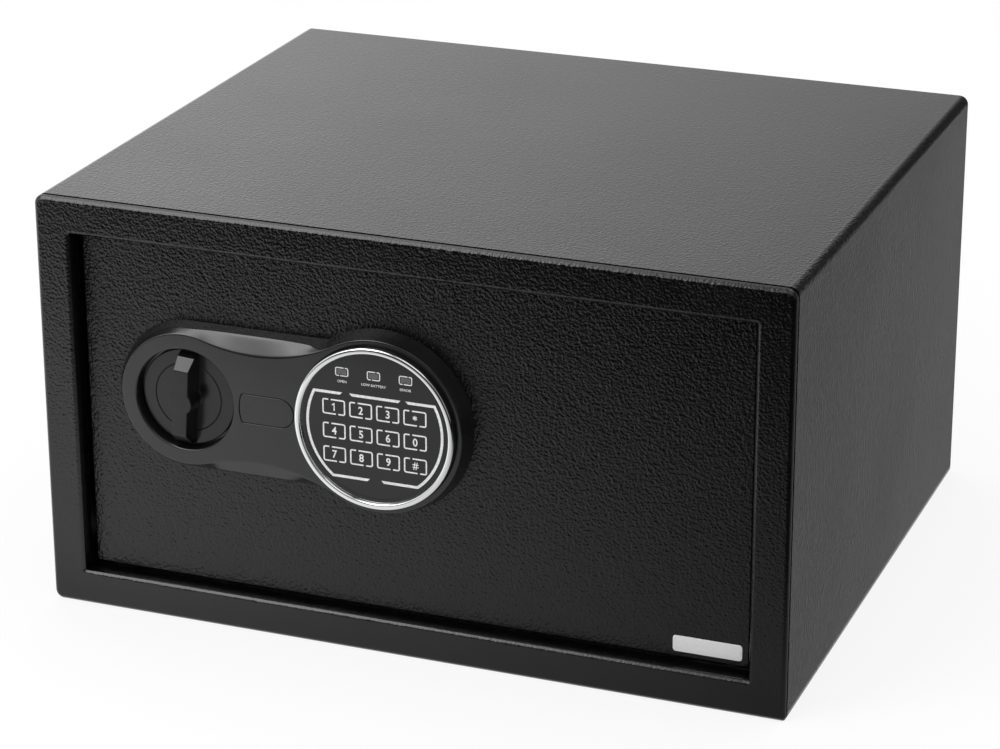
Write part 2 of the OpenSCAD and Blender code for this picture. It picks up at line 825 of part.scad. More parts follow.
module solenoid_coil() {
    w = solenoid_wall;
    z0 = solenoid_top - solenoid_h + w;
    coil_h = solenoid_h - 2 * w;
    color("#7a3b1c") at_front() translate([plunger_x, plunger_d, z0]) rotate_extrude($fn = fine)
        polygon([[plunger_r + 0.4, 0], [coil_r, 0], [coil_r, 1], [coil_r - coil_dip, 1.4],
            [coil_r - coil_dip, coil_h - 1.4], [coil_r, coil_h - 1], [coil_r, coil_h],
            [plunger_r + 0.4, coil_h]]);
}

// Plunger: drawn in at rest, it rises beside the carriage's tooth
module solenoid_plunger() {
    z0 = solenoid_top - solenoid_h + 6;
    groove_z = plunger_top - clip_dip;
    color("#c3c6ca") at_front() translate([plunger_x, plunger_d, 0]) rotate_extrude($fn = fine)
        polygon([[0, z0], [plunger_r, z0], [plunger_r, groove_z], [plunger_r - 0.6, groove_z],
            [plunger_r - 0.6, groove_z + clip_t], [plunger_r, groove_z + clip_t],
            [plunger_r, plunger_top - 0.5], [plunger_r - 0.5, plunger_top], [0, plunger_top]]);
}

module plunger_clip() {
    color("#8d9094") at_front() translate([plunger_x, plunger_d, plunger_top - clip_dip]) difference() {
        cylinder(h = clip_t, r = plunger_r + 1.4, $fn = fine);
        translate([0, 0, -1]) cylinder(h = clip_t + 2, r = plunger_r - 0.6, $fn = fine);
    }
}

// Spring between the solenoid frame and the plunger's clip
module plunger_spring() {
    low = solenoid_top + spring_wire;
    high = plunger_top - clip_dip - spring_wire;
    coil = plunger_r + 0.3 + spring_wire;
    steps = spring_turns * 12;
    path = [for (i = [0 : steps]) let (a = 360 * spring_turns * i / steps)
        [coil * cos(a), coil * sin(a), low + (high - low) * i / steps]];
    color("#c3c6ca") at_front() translate([plunger_x, plunger_d, 0]) swept_tube(path, spring_wire);
}

// Barrel of the emergency lock with its nut behind the door
module key_barrel() {
    front_d = 3;
    back_d = door_back + 16;
    color("#c9b06a") at_front() difference() {
        union() {
            bar(key_x, lock_z, barrel_r, front_d, back_d);
            bar(key_x, lock_z, barrel_r + 1.3, door_recess - 2.5, door_recess);
        }
        bar(key_x, lock_z, plug_r + run_gap, front_d - 1, back_d + 1);
    }
}

module barrel_nut() {
    nut_t = 3.5;
    across = 18;
    color("#b9bcc0") at_front() difference() {
        slab(door_back, door_back + nut_t) translate([key_x, lock_z])
            circle(across / 2 / cos(30), $fn = 6);
        bar(key_x, lock_z, barrel_r, door_back - 1, door_back + nut_t + 1);
    }
}

// Plug that the emergency key turns, with its keyway
module key_plug() {
    front_d = 3;
    back_d = door_back + plug_back;
    slot_w = 1.3;
    slot_h = 6.4;
    color("#c9b06a") at_front() difference() {
        union() {
            bar(key_x, lock_z, plug_r, front_d, back_d);
            slab(back_d - tiny, back_d + 3) translate([key_x, lock_z]) square(plug_square, center = true);
        }
        slab(front_d - 1, front_d + 16) translate([key_x, lock_z]) square([slot_w, slot_h], center = true);
    }
}

// Lever on the back of the plug
module key_cam() {
    d0 = door_back + plug_back;
    reach = 20;
    root_r = 7;
    tip_r = 4;
    color("#a2a5a9") at_front() difference() {
        slab(d0, d0 + 2.2) {
            translate([key_x, lock_z]) circle(root_r, $fn = fine);
            translate([key_x + reach, lock_z]) circle(tip_r, $fn = fine);
            translate([key_x, lock_z - tip_r]) square([reach, 2 * tip_r]);
        }
        slab(d0 - 1, d0 + 4) translate([key_x, lock_z]) square(plug_square, center = true);
    }
}

// Cover over the emergency key's hole, with two legs that clip into the hole
module key_cover() {
    leg_w = 4;
    leg_t = 0.8;
    leg_z = barrel_r + 0.35;
    color("#141416") at_front() {
        slab(0, key_cover_t) key_cover_2d(0);
        for (s = [-1, 1])
            slab(key_cover_t - tiny, key_cover_t + 4) translate([key_x, lock_z + s * (leg_z + leg_t / 2)])
                square([leg_w, leg_t], center = true);
    }
}

// Knob: a disc with a fine groove, a tapered grip across it and a round boss in the middle
module knob() {
    disc_t = 2.6;
    groove_r = 19.3;
    groove_w = 0.4;
    end_low = disc_r - 1.2;
    end_mid = disc_r - 2.6;
    end_top = disc_r - 8.5;
    reach = disc_d + grip_proud;
    mid_d = disc_d - 5;
    color("#161618") at_front() difference() {
        union() {
            difference() {
                bar(knob_x, lock_z, disc_r, disc_d, disc_d + disc_t);
                turned(knob_x, lock_z)
                    translate([groove_r - groove_w / 2, disc_d - 1]) square([groove_w, 1.3]);
            }
            bar(knob_x, lock_z, spindle_clip_r - 0.5, disc_d + disc_t - tiny, well_floor_d + 0.9);
            translate([knob_x, 0, lock_z]) rotate([0, grip_lean, 0]) intersection() {
                rotate([90, 0, 90]) translate([0, 0, -grip_base_w]) linear_extrude(2 * grip_base_w)
                    polygon([[disc_d + tiny, -end_low], [mid_d, -end_mid], [-grip_proud, -end_top],
                        [-grip_proud, end_top], [mid_d, end_mid], [disc_d + tiny, end_low]]);
                translate([0, 0, -disc_r]) linear_extrude(2 * disc_r)
                    polygon([[-grip_base_w / 2, disc_d + tiny], [-grip_w / 2, -grip_proud],
                        [grip_w / 2, -grip_proud], [grip_base_w / 2, disc_d + tiny]]);
            }
            translate([knob_x, disc_d + tiny, lock_z]) rotate([90, 0, 0])
                cylinder(h = reach, r1 = 7.4, r2 = 6.7, $fn = fine);
        }
        slab(1, well_floor_d + 2) translate([knob_x, lock_z])
            square(spindle_square + 0.1, center = true);
    }
}

// Spindle with its crank and the pin that drives the carriage
module knob_spindle() {
    color("#c3c6ca") at_front() {
        slab(1.5, door_recess - 0.9) translate([knob_x, lock_z]) square(spindle_square, center = true);
        turned(knob_x, lock_z) polygon([[0, door_recess - 1], [spindle_r, door_recess - 1],
            [spindle_r, door_recess - 0.9], [spindle_r - 0.7, door_recess - 0.9],
            [spindle_r - 0.7, door_recess - 0.1], [spindle_r, door_recess - 0.1],
            [spindle_r, crank_d + tiny], [0, crank_d + tiny]]);
        translate([knob_x, 0, lock_z]) rotate([0, 45, 0]) {
            slab(crank_d, crank_d + crank_t) {
                circle(8, $fn = fine);
                translate([0, crank_r]) circle(5, $fn = fine);
                translate([-5, 0]) square([10, crank_r]);
            }
            slab(crank_d + crank_t - tiny, carriage_d + carriage_t + 2) translate([0, crank_r])
                circle(crank_pin_r, $fn = fine);
        }
    }
}

module spindle_clip() {
    color("#8d9094") at_front() difference() {
        bar(knob_x, lock_z, spindle_clip_r - 0.4, door_recess - 0.85, door_recess - 0.15);
        bar(knob_x, lock_z, spindle_r - 0.7, door_recess - 2, door_recess + 1);
    }
}

// Carriage: a plate that the crank pin slides across, with a flange that holds the bolts
module bolt_carriage() {
    flange_half = bolt_pitch / 2 + 10;
    tooth_x = plunger_x + plunger_r + tooth_gap;
    pin_low = lock_z + crank_r * cos(45) - crank_pin_r - 1;
    pin_high = lock_z + crank_r + crank_pin_r + 1;
    pin_half = crank_pin_r + crank_slot_gap;
    color("#9a9da1") at_front() {
        difference() {
            union() {
                slab(carriage_d, carriage_d + carriage_t)
                    translate([flange_x, lock_z - carriage_half])
                        square([carriage_right - flange_x, 2 * carriage_half]);
                slab(carriage_d, carriage_d + carriage_t) translate([tooth_x, tooth_low])
                    square([tooth_w, tooth_h + tiny]);
                block([flange_x, carriage_d, lock_z - flange_half],
                    [flange_x + carriage_t, bolt_d + bolt_r + 1, lock_z + flange_half]);
            }
            slab(carriage_d - 1, carriage_d + carriage_t + 1) {
                for (s = [-1, 1])
                    slot_2d(stud_x, stud_x + bolt_stroke, lock_z + s * stud_z, stud_r + slide_gap);
                translate([crank_pin_x - pin_half, pin_low])
                    square([2 * pin_half, pin_high - pin_low]);
            }
            for (s = [-1, 1])
                translate([flange_x - 1, bolt_d, lock_z + s * bolt_pitch / 2]) rotate([0, 90, 0])
                    cylinder(h = carriage_t + 2, r = bolt_r / 2, $fn = fine);
        }
    }
}

// Bolts, each riveted through the carriage's flange
module locking_bolts() {
    length = flange_x - bolt_tip_x;
    color("#c3c6ca") at_front() for (s = [-1, 1])
        translate([bolt_tip_x, bolt_d, lock_z + s * bolt_pitch / 2]) rotate([0, 90, 0])
            rotate_extrude($fn = fine) polygon([[0, 0], [bolt_r - 1, 0], [bolt_r, 1],
                [bolt_r, length], [bolt_r / 2, length], [bolt_r / 2, length + carriage_t + 0.8],
                [0, length + carriage_t + 0.8]]);
}

// Cover over the mechanism, with the battery tray and the hole of the reset button
module inner_cover() {
    t = cover_t;
    wall_d = door_back + 0.2;
    rebate = lid_edge + 0.3;
    color("#1b1c1e") at_front() difference() {
        union() {
            difference() {
                slab(wall_d, cover_back_d) translate([cover_mid_x, cover_mid_z])
                    soft_rect(cover_w, 2 * cover_half, 6);
                slab(wall_d - 1, cover_back_d - t) translate([cover_mid_x, cover_mid_z])
                    soft_rect(cover_w - 2 * t, 2 * cover_half - 2 * t, 6 - t);
            }
            slab(tray_floor_d - t, cover_back_d - tiny) translate([tray_x, tray_z])
                square([tray_w + 2 * t, tray_h + 2 * t], center = true);
            slab(cover_back_d - lid_t - 2, cover_back_d - tiny) translate([tray_x, tray_z])
                square([tray_w + 2 * rebate + 2 * t, tray_h + 2 * rebate + 2 * t], center = true);
            slab(cover_back_d - 14, cover_back_d - tiny) translate([reset_x, reset_z])
                square(13, center = true);
        }
        slab(tray_floor_d, cover_back_d + 1) translate([tray_x, tray_z])
            square([tray_w, tray_h], center = true);
        slab(cover_back_d - lid_t, cover_back_d + 1) translate([tray_x, tray_z])
            square([tray_w + 2 * rebate, tray_h + 2 * rebate], center = true);
        slab(wall_d - 1, cover_back_d - 6) translate([reset_x, reset_z]) square(10.4, center = true);
        bar(reset_x, reset_z, reset_r + 0.4, cover_back_d - 20, cover_back_d + 1);
        for (s = [-1, 1])
            translate([cover_left - 1, bolt_d, lock_z + s * bolt_pitch / 2]) rotate([0, 90, 0])
                cylinder(h = t + 2, r = bolt_r + 0.8, $fn = fine);
        for (p = post_spots)
            bar(p[0], p[1], 2.2, cover_back_d - 2 * t, cover_back_d + 1);
    }
}

post_spots = [for (sx = [-1, 1], sz = [-1, 1])
    [cover_mid_x + sx * (cover_w / 2 - post_in), cover_mid_z + sz * (cover_half - post_in)]];

// Posts on the door plate that the cover is screwed to
module cover_posts() {
    color("#9a9da1") at_front() for (p = post_spots) difference() {
        slab(door_back, cover_back_d - cover_t) translate(p) circle(post_corner_r, $fn = 6);
        bar(p[0], p[1], cover_screw_r, cover_back_d - cover_screw_len - 4, cover_back_d);
    }
}

module cover_screws() {
    color("#b9bcc0") at_front() for (p = post_spots) {
        bar(p[0], p[1], cover_screw_r, cover_back_d - cover_screw_len, cover_back_d + tiny);
        turned(p[0], p[1]) polygon([[0, cover_back_d], [3.6, cover_back_d],
            [3, cover_back_d + 1.2], [1.8, cover_back_d + 1.8], [0, cover_back_d + 1.8]]);
    }
}

// Battery cells side by side, each with its raised contact
module battery_cells() {
    nub = 1;
    color("#5f6266") at_front() for (i = [0 : cell_count - 1]) {
        up = i % 2 == 0 ? 1 : -1;
        x = tray_x + (i - (cell_count - 1) / 2) * cell_pitch;
        translate([x, cell_d, tray_z]) rotate([up > 0 ? 0 : 180, 0, 0])
            translate([0, 0, -cell_len / 2]) rotate_extrude($fn = 64)
                polygon([[0, 0], [cell_r - 0.4, 0], [cell_r, 0.5], [cell_r, cell_len - nub - 0.5],
                    [cell_r - 0.5, cell_len - nub], [2.6, cell_len - nub], [2.6, cell_len],
                    [0, cell_len]]);
    }
}

// Contact plates at both ends of the tray, with a spring cone for each cell
module battery_contacts() {
    plate_t = 0.5;
    color("#c3c6ca") at_front() for (s = [-1, 1]) {
        z = tray_z + s * (tray_h / 2 - plate_t / 2);
        block([tray_x - tray_w / 2 + 1, tray_floor_d + 1, z - plate_t / 2],
            [tray_x + tray_w / 2 - 1, cell_d + 5, z + plate_t / 2]);
        for (i = [0 : cell_count - 1]) {
            x = tray_x + (i - (cell_count - 1) / 2) * cell_pitch;
            start = tray_z + s * (tray_h / 2 - plate_t + tiny);
            translate([x, cell_d, start]) rotate([s > 0 ? 180 : 0, 0, 0])
                cylinder(h = contact_room - plate_t - 0.1, r1 = 4, r2 = 2, $fn = 32);
        }
    }
}

// Lid of the battery tray
module battery_lid() {
    notch_r = 7;
    color("#1b1c1e") at_front() difference() {
        slab(cover_back_d - lid_t, cover_back_d) translate([tray_x, tray_z])
            soft_rect(tray_w + 2 * lid_edge, tray_h + 2 * lid_edge, 1.5);
        bar(tray_x, tray_z + tray_h / 2 + lid_edge, notch_r, cover_back_d - 0.7, cover_back_d + 1);
    }
}

// Reset button, held in by its flange, and the switch behind it
module reset_button() {
    low_d = cover_back_d - reset_flange_in;
    flange_t = 1.9;
    color("#a3201c") at_front() turned(reset_x, reset_z) polygon([
        [0, low_d], [reset_r + 1.1, low_d], [reset_r + 1.1, low_d + flange_t],
        [reset_r, low_d + flange_t], [reset_r, cover_back_d + 1.6],
        [reset_r - 0.5, cover_back_d + 2], [0, cover_back_d + 2]]);
}

module reset_switch() {
    front_d = cover_back_d - reset_flange_in - reset_travel - 0.3;
    tall = 6;
    pin_len = 3;
    color("#2a2b2e") at_front() {
        slab(front_d - tall, front_d) translate([reset_x, reset_z]) square(10, center = true);
        for (s = [-1, 1])
            slab(front_d - tall - pin_len, front_d - tall + tiny)
                translate([reset_x + s * pin_len, reset_z]) square([0.8, 2], center = true);
    }
}

// Leads from the keypad board, through the door, to the battery tray and to the solenoid
lead_r = 1.3;
function mix(a, b, t) = a + (b - a) * t;
function lead(a, b, steps) = [for (q = steps)
    [mix(a[0], b[0], q[0]), door_back + q[2], mix(a[1], b[1], q[1])]];
lead_hole_half = 2.5;
lead_top = lock_z - 2;
solenoid_lead_z = solenoid_top - solenoid_h / 2 + 2;
battery_lead = lead([keypad_x + lead_hole_half, lead_top], [tray_x - tray_w / 2 - cover_t - 2.2, tray_z],
    [[0, 0, -5], [0, 0, 0], [0.015, 0.044, 5], [0.087, 0.175, 9], [0.26, 0.44, 11], [0.55, 0.7, 11],
    [0.826, 0.737, 11], [0.942, 0.912, 12], [0.985, 0.956, 17], [0.993, 1, 22], [1, 1, 26]]);
solenoid_lead = lead([keypad_x - lead_hole_half, lead_top],
    [plunger_x + coil_r - coil_dip + 0.02, solenoid_lead_z],
    [[0, 0, -5], [0, 0, 0], [0.01, 0.04, 4], [0.074, 0.19, 7], [0.22, 0.54, 8], [0.43, 0.83, 8],
    [0.64, 0.96, 8], [0.84, 1, 8], [1, 1, 8]]);

module wiring_harness() {
    color("#8c2f2a") at_front() {
        swept_tube(battery_lead, lead_r);
        swept_tube(solenoid_lead, lead_r);
    }
}

body_wrap();
front_frame();
back_panel();
hinge_brackets();
hinge_washer();
floor_mat();
door_plate();
hinge_blocks();
hinge_pins();
bolt_guide();
guide_studs();
stud_clips();
lock_housing();
housing_screws();
chrome_ring();
keypad_panel();
key_membrane();
keypad_board();
status_leds();
buzzer();
solenoid_frame();
solenoid_coil();
key_barrel();
barrel_nut();
inner_cover();
cover_posts();
cover_screws();
battery_cells();
battery_contacts();
reset_switch();
wiring_harness();
knob();
knob_spindle();
spindle_clip();
bolt_carriage();
locking_bolts();
solenoid_plunger();
plunger_clip();
plunger_spring();
key_plug();
key_cam();
key_cover();
reset_button();
battery_lid();
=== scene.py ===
import json
import math
import bpy
import bmesh
from mathutils import Vector, Matrix


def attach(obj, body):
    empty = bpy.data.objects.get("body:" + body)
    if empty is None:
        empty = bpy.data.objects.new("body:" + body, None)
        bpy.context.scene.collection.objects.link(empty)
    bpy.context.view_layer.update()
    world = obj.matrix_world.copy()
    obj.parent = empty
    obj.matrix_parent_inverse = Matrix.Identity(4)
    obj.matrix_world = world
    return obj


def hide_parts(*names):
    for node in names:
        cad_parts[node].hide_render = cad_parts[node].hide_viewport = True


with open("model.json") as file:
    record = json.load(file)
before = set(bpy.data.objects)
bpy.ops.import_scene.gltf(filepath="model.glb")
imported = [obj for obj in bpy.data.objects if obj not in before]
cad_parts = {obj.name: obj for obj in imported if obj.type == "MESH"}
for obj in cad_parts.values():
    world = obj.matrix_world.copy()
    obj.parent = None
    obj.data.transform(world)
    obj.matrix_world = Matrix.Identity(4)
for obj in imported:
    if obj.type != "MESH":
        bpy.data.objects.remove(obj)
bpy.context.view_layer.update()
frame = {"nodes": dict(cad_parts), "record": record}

MM = 0.001
nodes = frame["nodes"]
scene = bpy.context.scene
scene.view_settings.view_transform = "Standard"

# Sizes in millimetres, as in part.scad. Depths grow into the safe from the frame's face.
BODY_W, BODY_H, BODY_D = 420.0, 235.0, 350.0
CORNER_R, SHEET_T = 5.0, 2.0
LIP_W, LIP_D, BOLT_LIP_MORE = 20.0, 12.0, 4.0
FLANGE_IN, FLANGE_D = 2 * SHEET_T, 14.0
ANCHOR_X, ANCHOR_D, ANCHOR_R = 140.0, 80.0, 5.0
DOOR_D = 10.0
LOCK_Z = BODY_H / 2 + 12.8
KNOB_X = -125.0
PAD_X = KNOB_X + 110.4
KNOB_R, PAD_R = 41.5, 51.3
DRAFT, SHOULDER_D, BAND_W, WAIST = 1.7, 4.0, 2.8, 30.3
WELL_R, WELL_D, WELL_HOLE_R = 28.4, 8.0, 8.0
DISC_R, DISC_D, DISC_T = 27.0, 5.0, 2.6
GRIP_PROUD, GRIP_LEAN, GRIP_W, GRIP_BASE_W = 6.0, 4.0, 8.6, 11.2
RING_R, PANEL_R, PANEL_D = 45.0, 39.9, -1.8
SEAT_D, SEAT_GAP, LEDGE_R, LEDGE_D, LEDGE_HOLE_R = 1.2, 0.2, PANEL_R + 1.2, 2.6, 37.5
KEY_X, KEY_HOLE_R = KNOB_X + 47.8, 7.2
COVER_X, COVER_END_R, COVER_LEN, COVER_T, COVER_GAP = KNOB_X + 55.4, 8.0, 23.2, 2.0, 0.35
FRONT_Y = -(BODY_D - GRIP_PROUD) / 2

# Sizes of the forms that only this script has.
FRONT_EDGE_R, OPENING_R, SEAM_D, WRAP_D, SHARP_SHARE = 2.6, 2.4, 2.9, 5.0, 0.3
GROOVE_R, GROOVE_HALF, GROOVE_DEEP, BOSS_R = 19.2, 0.28, 0.42, 6.7
PANEL_EDGE_R, REFLECTION_SLEEVE_R = 41.4, 45.12
BUTTON_W, BUTTON_H, BUTTON_PITCH_X, BUTTON_PITCH_Z, BUTTON_UP = 12.2, 7.9, 15.25, 13.35, 9.1
LAMP_PITCH, LAMP_UP = 17.9, 29.4
LINE_R, LINE_UP, LINE_DOWN, LINE_W, LINE_SLANT = 38.0, 17.2, 29.5, 1.5, 0.7
PRINT_D, PRINT_LAYER = PANEL_D - 0.03, 0.002
STICKER_X, STICKER_Z, STICKER_W, STICKER_H = 165.05, 30.0, 37.5, 9.0

# The camera fitted to the photograph: angles in degrees, place in metres.
CAM_AZIMUTH, CAM_ELEVATION, CAM_ROLL = 21.20529, 20.68906, -0.17998
CAM_PLACE = (0.6227176, -1.6355561, 0.7898253)
CAM_LENS, CAM_SHIFT_Y = 119.408, -0.05


def at(x, d, z):
    return Vector((x * MM, (FRONT_Y + d) * MM, z * MM))


def new_object(name, data):
    obj = bpy.data.objects.new(name, data)
    scene.collection.objects.link(obj)
    return obj


# Camera
def add_camera():
    az, el, roll = (math.radians(a) for a in (CAM_AZIMUTH, CAM_ELEVATION, CAM_ROLL))
    d = Vector((-math.sin(az) * math.cos(el), math.cos(az) * math.cos(el), -math.sin(el)))
    r = d.cross(Vector((0, 0, 1))).normalized()
    u = r.cross(d)
    right = r * math.cos(roll) + u * math.sin(roll)
    up = -r * math.sin(roll) + u * math.cos(roll)
    cam = bpy.data.cameras.new("camera")
    cam.sensor_width = 36
    cam.lens = CAM_LENS
    cam.shift_y = CAM_SHIFT_Y
    cam.clip_start = 0.05
    cam.clip_end = 50
    turn = Matrix((right, up, -d)).transposed().to_4x4()
    turn.translation = Vector(CAM_PLACE)
    scene.camera = new_object("camera", cam)
    scene.camera.matrix_world = turn


add_camera()


# Materials
class Tree:
    """Short way to write the nodes of a material or a world."""

    def __init__(self, owner):
        owner.use_nodes = True
        self.tree = owner.node_tree

    def link(self, a, b):
        self.tree.links.new(a, b)

    def put(self, socket, value):
        if isinstance(value, bpy.types.NodeSocket):
            self.link(value, socket)
        else:
            socket.default_value = value

    def add(self, kind, **inputs):
        n = self.tree.nodes.new("ShaderNode" + kind)
        for k, v in inputs.items():
            self.put(n.inputs[k.replace("_", " ")], v)
        return n

    def math(self, op, a, b):
        n = self.tree.nodes.new("ShaderNodeMath")
        n.operation = op
        self.put(n.inputs[0], a)
        self.put(n.inputs[1], b)
        return n.outputs["Value"]

    def seen(self):
        """1 for camera, glossy and transmission rays, 0 for all others."""
        ray = self.add("LightPath").outputs
        direct = self.math("MAXIMUM", ray["Is Camera Ray"], ray["Is Glossy Ray"])
        return self.math("MAXIMUM", direct, ray["Is Transmission Ray"])

    def mix(self, fac, a, b):
        n = self.tree.nodes.new("ShaderNodeMixShader")
        for value, socket in zip((fac, a.outputs[0], b.outputs[0]), n.inputs):
            self.link(value, socket)
        return n.outputs["Shader"]


class Nodes(Tree):
    """A material with its nodes."""

    def __init__(self, name):
        self.mat = bpy.data.materials.new(name)
        super().__init__(self.mat)
        self.bsdf = self.tree.nodes["Principled BSDF"]
        self.coord = self.add("TexCoord").outputs["Object"]

    def to(self, socket, value):
        self.put(self.bsdf.inputs[socket], value)

    def surface(self, shader):
        self.link(shader, self.tree.nodes["Material Output"].inputs["Surface"])

    def noise(self, scale, detail=2.0, rough=0.5, stretch=None):
        src = self.coord
        if stretch:
            src = self.add("Mapping", Vector=src, Scale=stretch).outputs["Vector"]
        n = self.add("TexNoise", Vector=src, Scale=scale, Detail=detail, Roughness=rough)
        return n.outputs["Fac"]

    def cells(self, scale):
        n = self.tree.nodes.new("ShaderNodeTexVoronoi")
        n.feature = "SMOOTH_F1"
        n.inputs["Scale"].default_value = scale
        n.inputs["Smoothness"].default_value = 0.6
        self.link(self.coord, n.inputs["Vector"])
        return n.outputs["Distance"]

    def ramp(self, fac, lo, hi, a, b):
        n = self.add("MapRange", Value=fac, From_Min=lo, From_Max=hi, To_Min=a, To_Max=b)
        return n.outputs["Result"]

    def along(self, direction, lo, hi, a, b):
        """Value that runs from a to b while the place along a direction runs from lo to hi."""
        dot = self.tree.nodes.new("ShaderNodeVectorMath")
        dot.operation = "DOT_PRODUCT"
        dot.inputs[1].default_value = direction
        self.link(self.coord, dot.inputs[0])
        return self.ramp(dot.outputs["Value"], lo, hi, a, b)

    def tint(self, fac, a, b, lo=0.35, hi=0.65):
        n = self.add("ValToRGB", Fac=fac)
        for end, place, color in zip(n.color_ramp.elements, (lo, hi), (a, b)):
            end.position = place
            end.color = (*color, 1)
        return n.outputs["Color"]

    def bump(self, height, distance, under=None):
        n = self.add("Bump", Height=height, Distance=distance)
        if under is not None:
            self.link(under, n.inputs["Normal"])
        return n.outputs["Normal"]


# Where the grain of the paint is fainter or stronger: direction, its range in metres, two factors.
CALM_LOW = ((0.2, 0, 1), 0.06, 0.165, 0.76, 1.0)
CALM_EDGES = ((0, 1, 0), FRONT_Y * MM, FRONT_Y * MM + 0.0006, 1.0, 0.35)
CALM_BACK = ((0, 1, 0), -0.15, 0.13, 1.35, 0.50)
STRONG_SIDE = ((1, 0, 0), 0.204, 0.2095, 1.0, 2.4)


def paint(name, dark, light, rough, depth, grain=720.0, level=0.5, fades=()):
    """Powder coat: a pebbled skin with slightly uneven gloss."""
    m = Nodes(name)
    wide = m.noise(9, 3)
    m.to("Base Color", m.tint(m.noise(60, 4), dark, light))
    m.to("Roughness", m.math("ADD", m.ramp(wide, 0.3, 0.7, rough - 0.03, rough + 0.03),
                             m.ramp(m.noise(900, 1), 0.3, 0.7, -0.02, 0.03)))
    peel = m.math("ADD", m.math("MULTIPLY", m.cells(grain * 0.8), 0.5),
                  m.noise(grain, 1.5, 0.45))
    for fade in fades:
        peel = m.math("MULTIPLY", peel, m.along(*fade))
    fine = m.bump(m.noise(grain * 4, 2), depth * 0.008)
    m.to("Normal", m.bump(peel, depth, fine))
    m.to("Specular IOR Level", level)
    return m.mat


def plastic(name, dark, light, rough, grain=0.00001, scale=1600.0, level=0.5):
    m = Nodes(name)
    m.to("Base Color", m.tint(m.noise(45, 3), dark, light))
    m.to("Roughness", m.ramp(m.noise(25, 4), 0.3, 0.7, rough - 0.025, rough + 0.035))
    soft = m.bump(m.noise(30, 1), 0.00004)
    m.to("Normal", m.bump(m.noise(scale, 2), grain, soft))
    m.to("Specular IOR Level", level)
    return m.mat


def steel(name, dark, light, rough, stretch=(1, 1, 14), scale=160.0, metal=1.0):
    """Metal with fine drawn lines and a few cloudy spots."""
    m = Nodes(name)
    lines = m.noise(scale, 3, 0.6, stretch)
    m.to("Base Color", m.tint(lines, dark, light, 0.3, 0.7))
    m.to("Metallic", metal)
    m.to("Roughness", m.math("ADD", m.ramp(lines, 0.3, 0.7, rough - 0.05, rough + 0.07),
                             m.ramp(m.noise(30, 3), 0.3, 0.7, -0.04, 0.05)))
    m.to("Normal", m.bump(lines, 0.00002))
    return m.mat


def felt(name):
    m = Nodes(name)
    m.to("Base Color", m.tint(m.noise(500, 4, 0.7), (0.012, 0.012, 0.014), (0.05, 0.05, 0.053)))
    m.to("Roughness", m.ramp(m.noise(60, 2), 0.3, 0.7, 0.9, 1.0))
    m.to("Sheen Weight", 0.3)
    m.to("Sheen Roughness", 0.5)
    m.to("Normal", m.bump(m.math("ADD", m.noise(1400, 3, 0.7), m.noise(260, 2)), 0.0005))
    return m.mat


def board(name):
    m = Nodes(name)
    n = m.add("TexBrick", Vector=m.coord, Scale=240, Color1=(0.008, 0.07, 0.03, 1),
              Color2=(0.01, 0.09, 0.035, 1), Mortar=(0.03, 0.16, 0.07, 1), Mortar_Size=0.04)
    m.to("Base Color", n.outputs["Color"])
    m.to("Roughness", m.ramp(m.noise(80, 2), 0.3, 0.7, 0.3, 0.42))
    m.to("Normal", m.bump(n.outputs["Fac"], 0.00003))
    return m.mat


def winding(name):
    m = Nodes(name)
    w = m.add("TexWave", Vector=m.coord, Scale=380, Distortion=0.4)
    w.bands_direction = "Z"
    turns = w.outputs["Fac"]
    m.to("Base Color", m.tint(turns, (0.10, 0.02, 0.006), (0.42, 0.13, 0.04), 0.1, 0.8))
    m.to("Metallic", 0.8)
    m.to("Roughness", m.ramp(m.noise(90, 2), 0.3, 0.7, 0.28, 0.4))
    m.to("Normal", m.bump(turns, 0.0001))
    return m.mat


def cell_wrap(name):
    """Dark wrap of a battery cell with a golden end."""
    m = Nodes(name)
    m.to("Base Color", m.tint(m.along((0, 0, 1), 0.08, 0.13, 0, 1),
                              (0.012, 0.013, 0.016), (0.35, 0.22, 0.05), 0.62, 0.64))
    m.to("Roughness", m.ramp(m.noise(60, 3), 0.3, 0.7, 0.18, 0.28))
    m.to("Coat Weight", 0.4)
    m.to("Normal", m.bump(m.noise(300, 2), 0.00001))
    return m.mat


def gloss(name):
    m = Nodes(name)
    m.to("Base Color", m.tint(m.noise(20, 2), (0.012, 0.012, 0.0125), (0.015, 0.015, 0.0155)))
    m.to("Roughness", m.ramp(m.noise(70, 4), 0.3, 0.7, 0.10, 0.16))
    m.to("Normal", m.bump(m.noise(22, 1), 0.00003))
    m.to("Specular IOR Level", 0.40)
    return m.mat


def ink(name, a, b):
    m = Nodes(name)
    m.to("Base Color", m.tint(m.noise(900, 3), a, b))
    m.to("Roughness", m.ramp(m.noise(400, 2), 0.3, 0.7, 0.45, 0.6))
    m.to("Normal", m.bump(m.noise(2400, 2), 0.000004))
    return m.mat


MAT = {}


def make(name, kind, *values, **more):
    MAT[name] = kind(name, *values, **more)


BLACK = ((0.0018, 0.0018, 0.0020), (0.0030, 0.0030, 0.0032))
EVEN = (1, 1, 1)

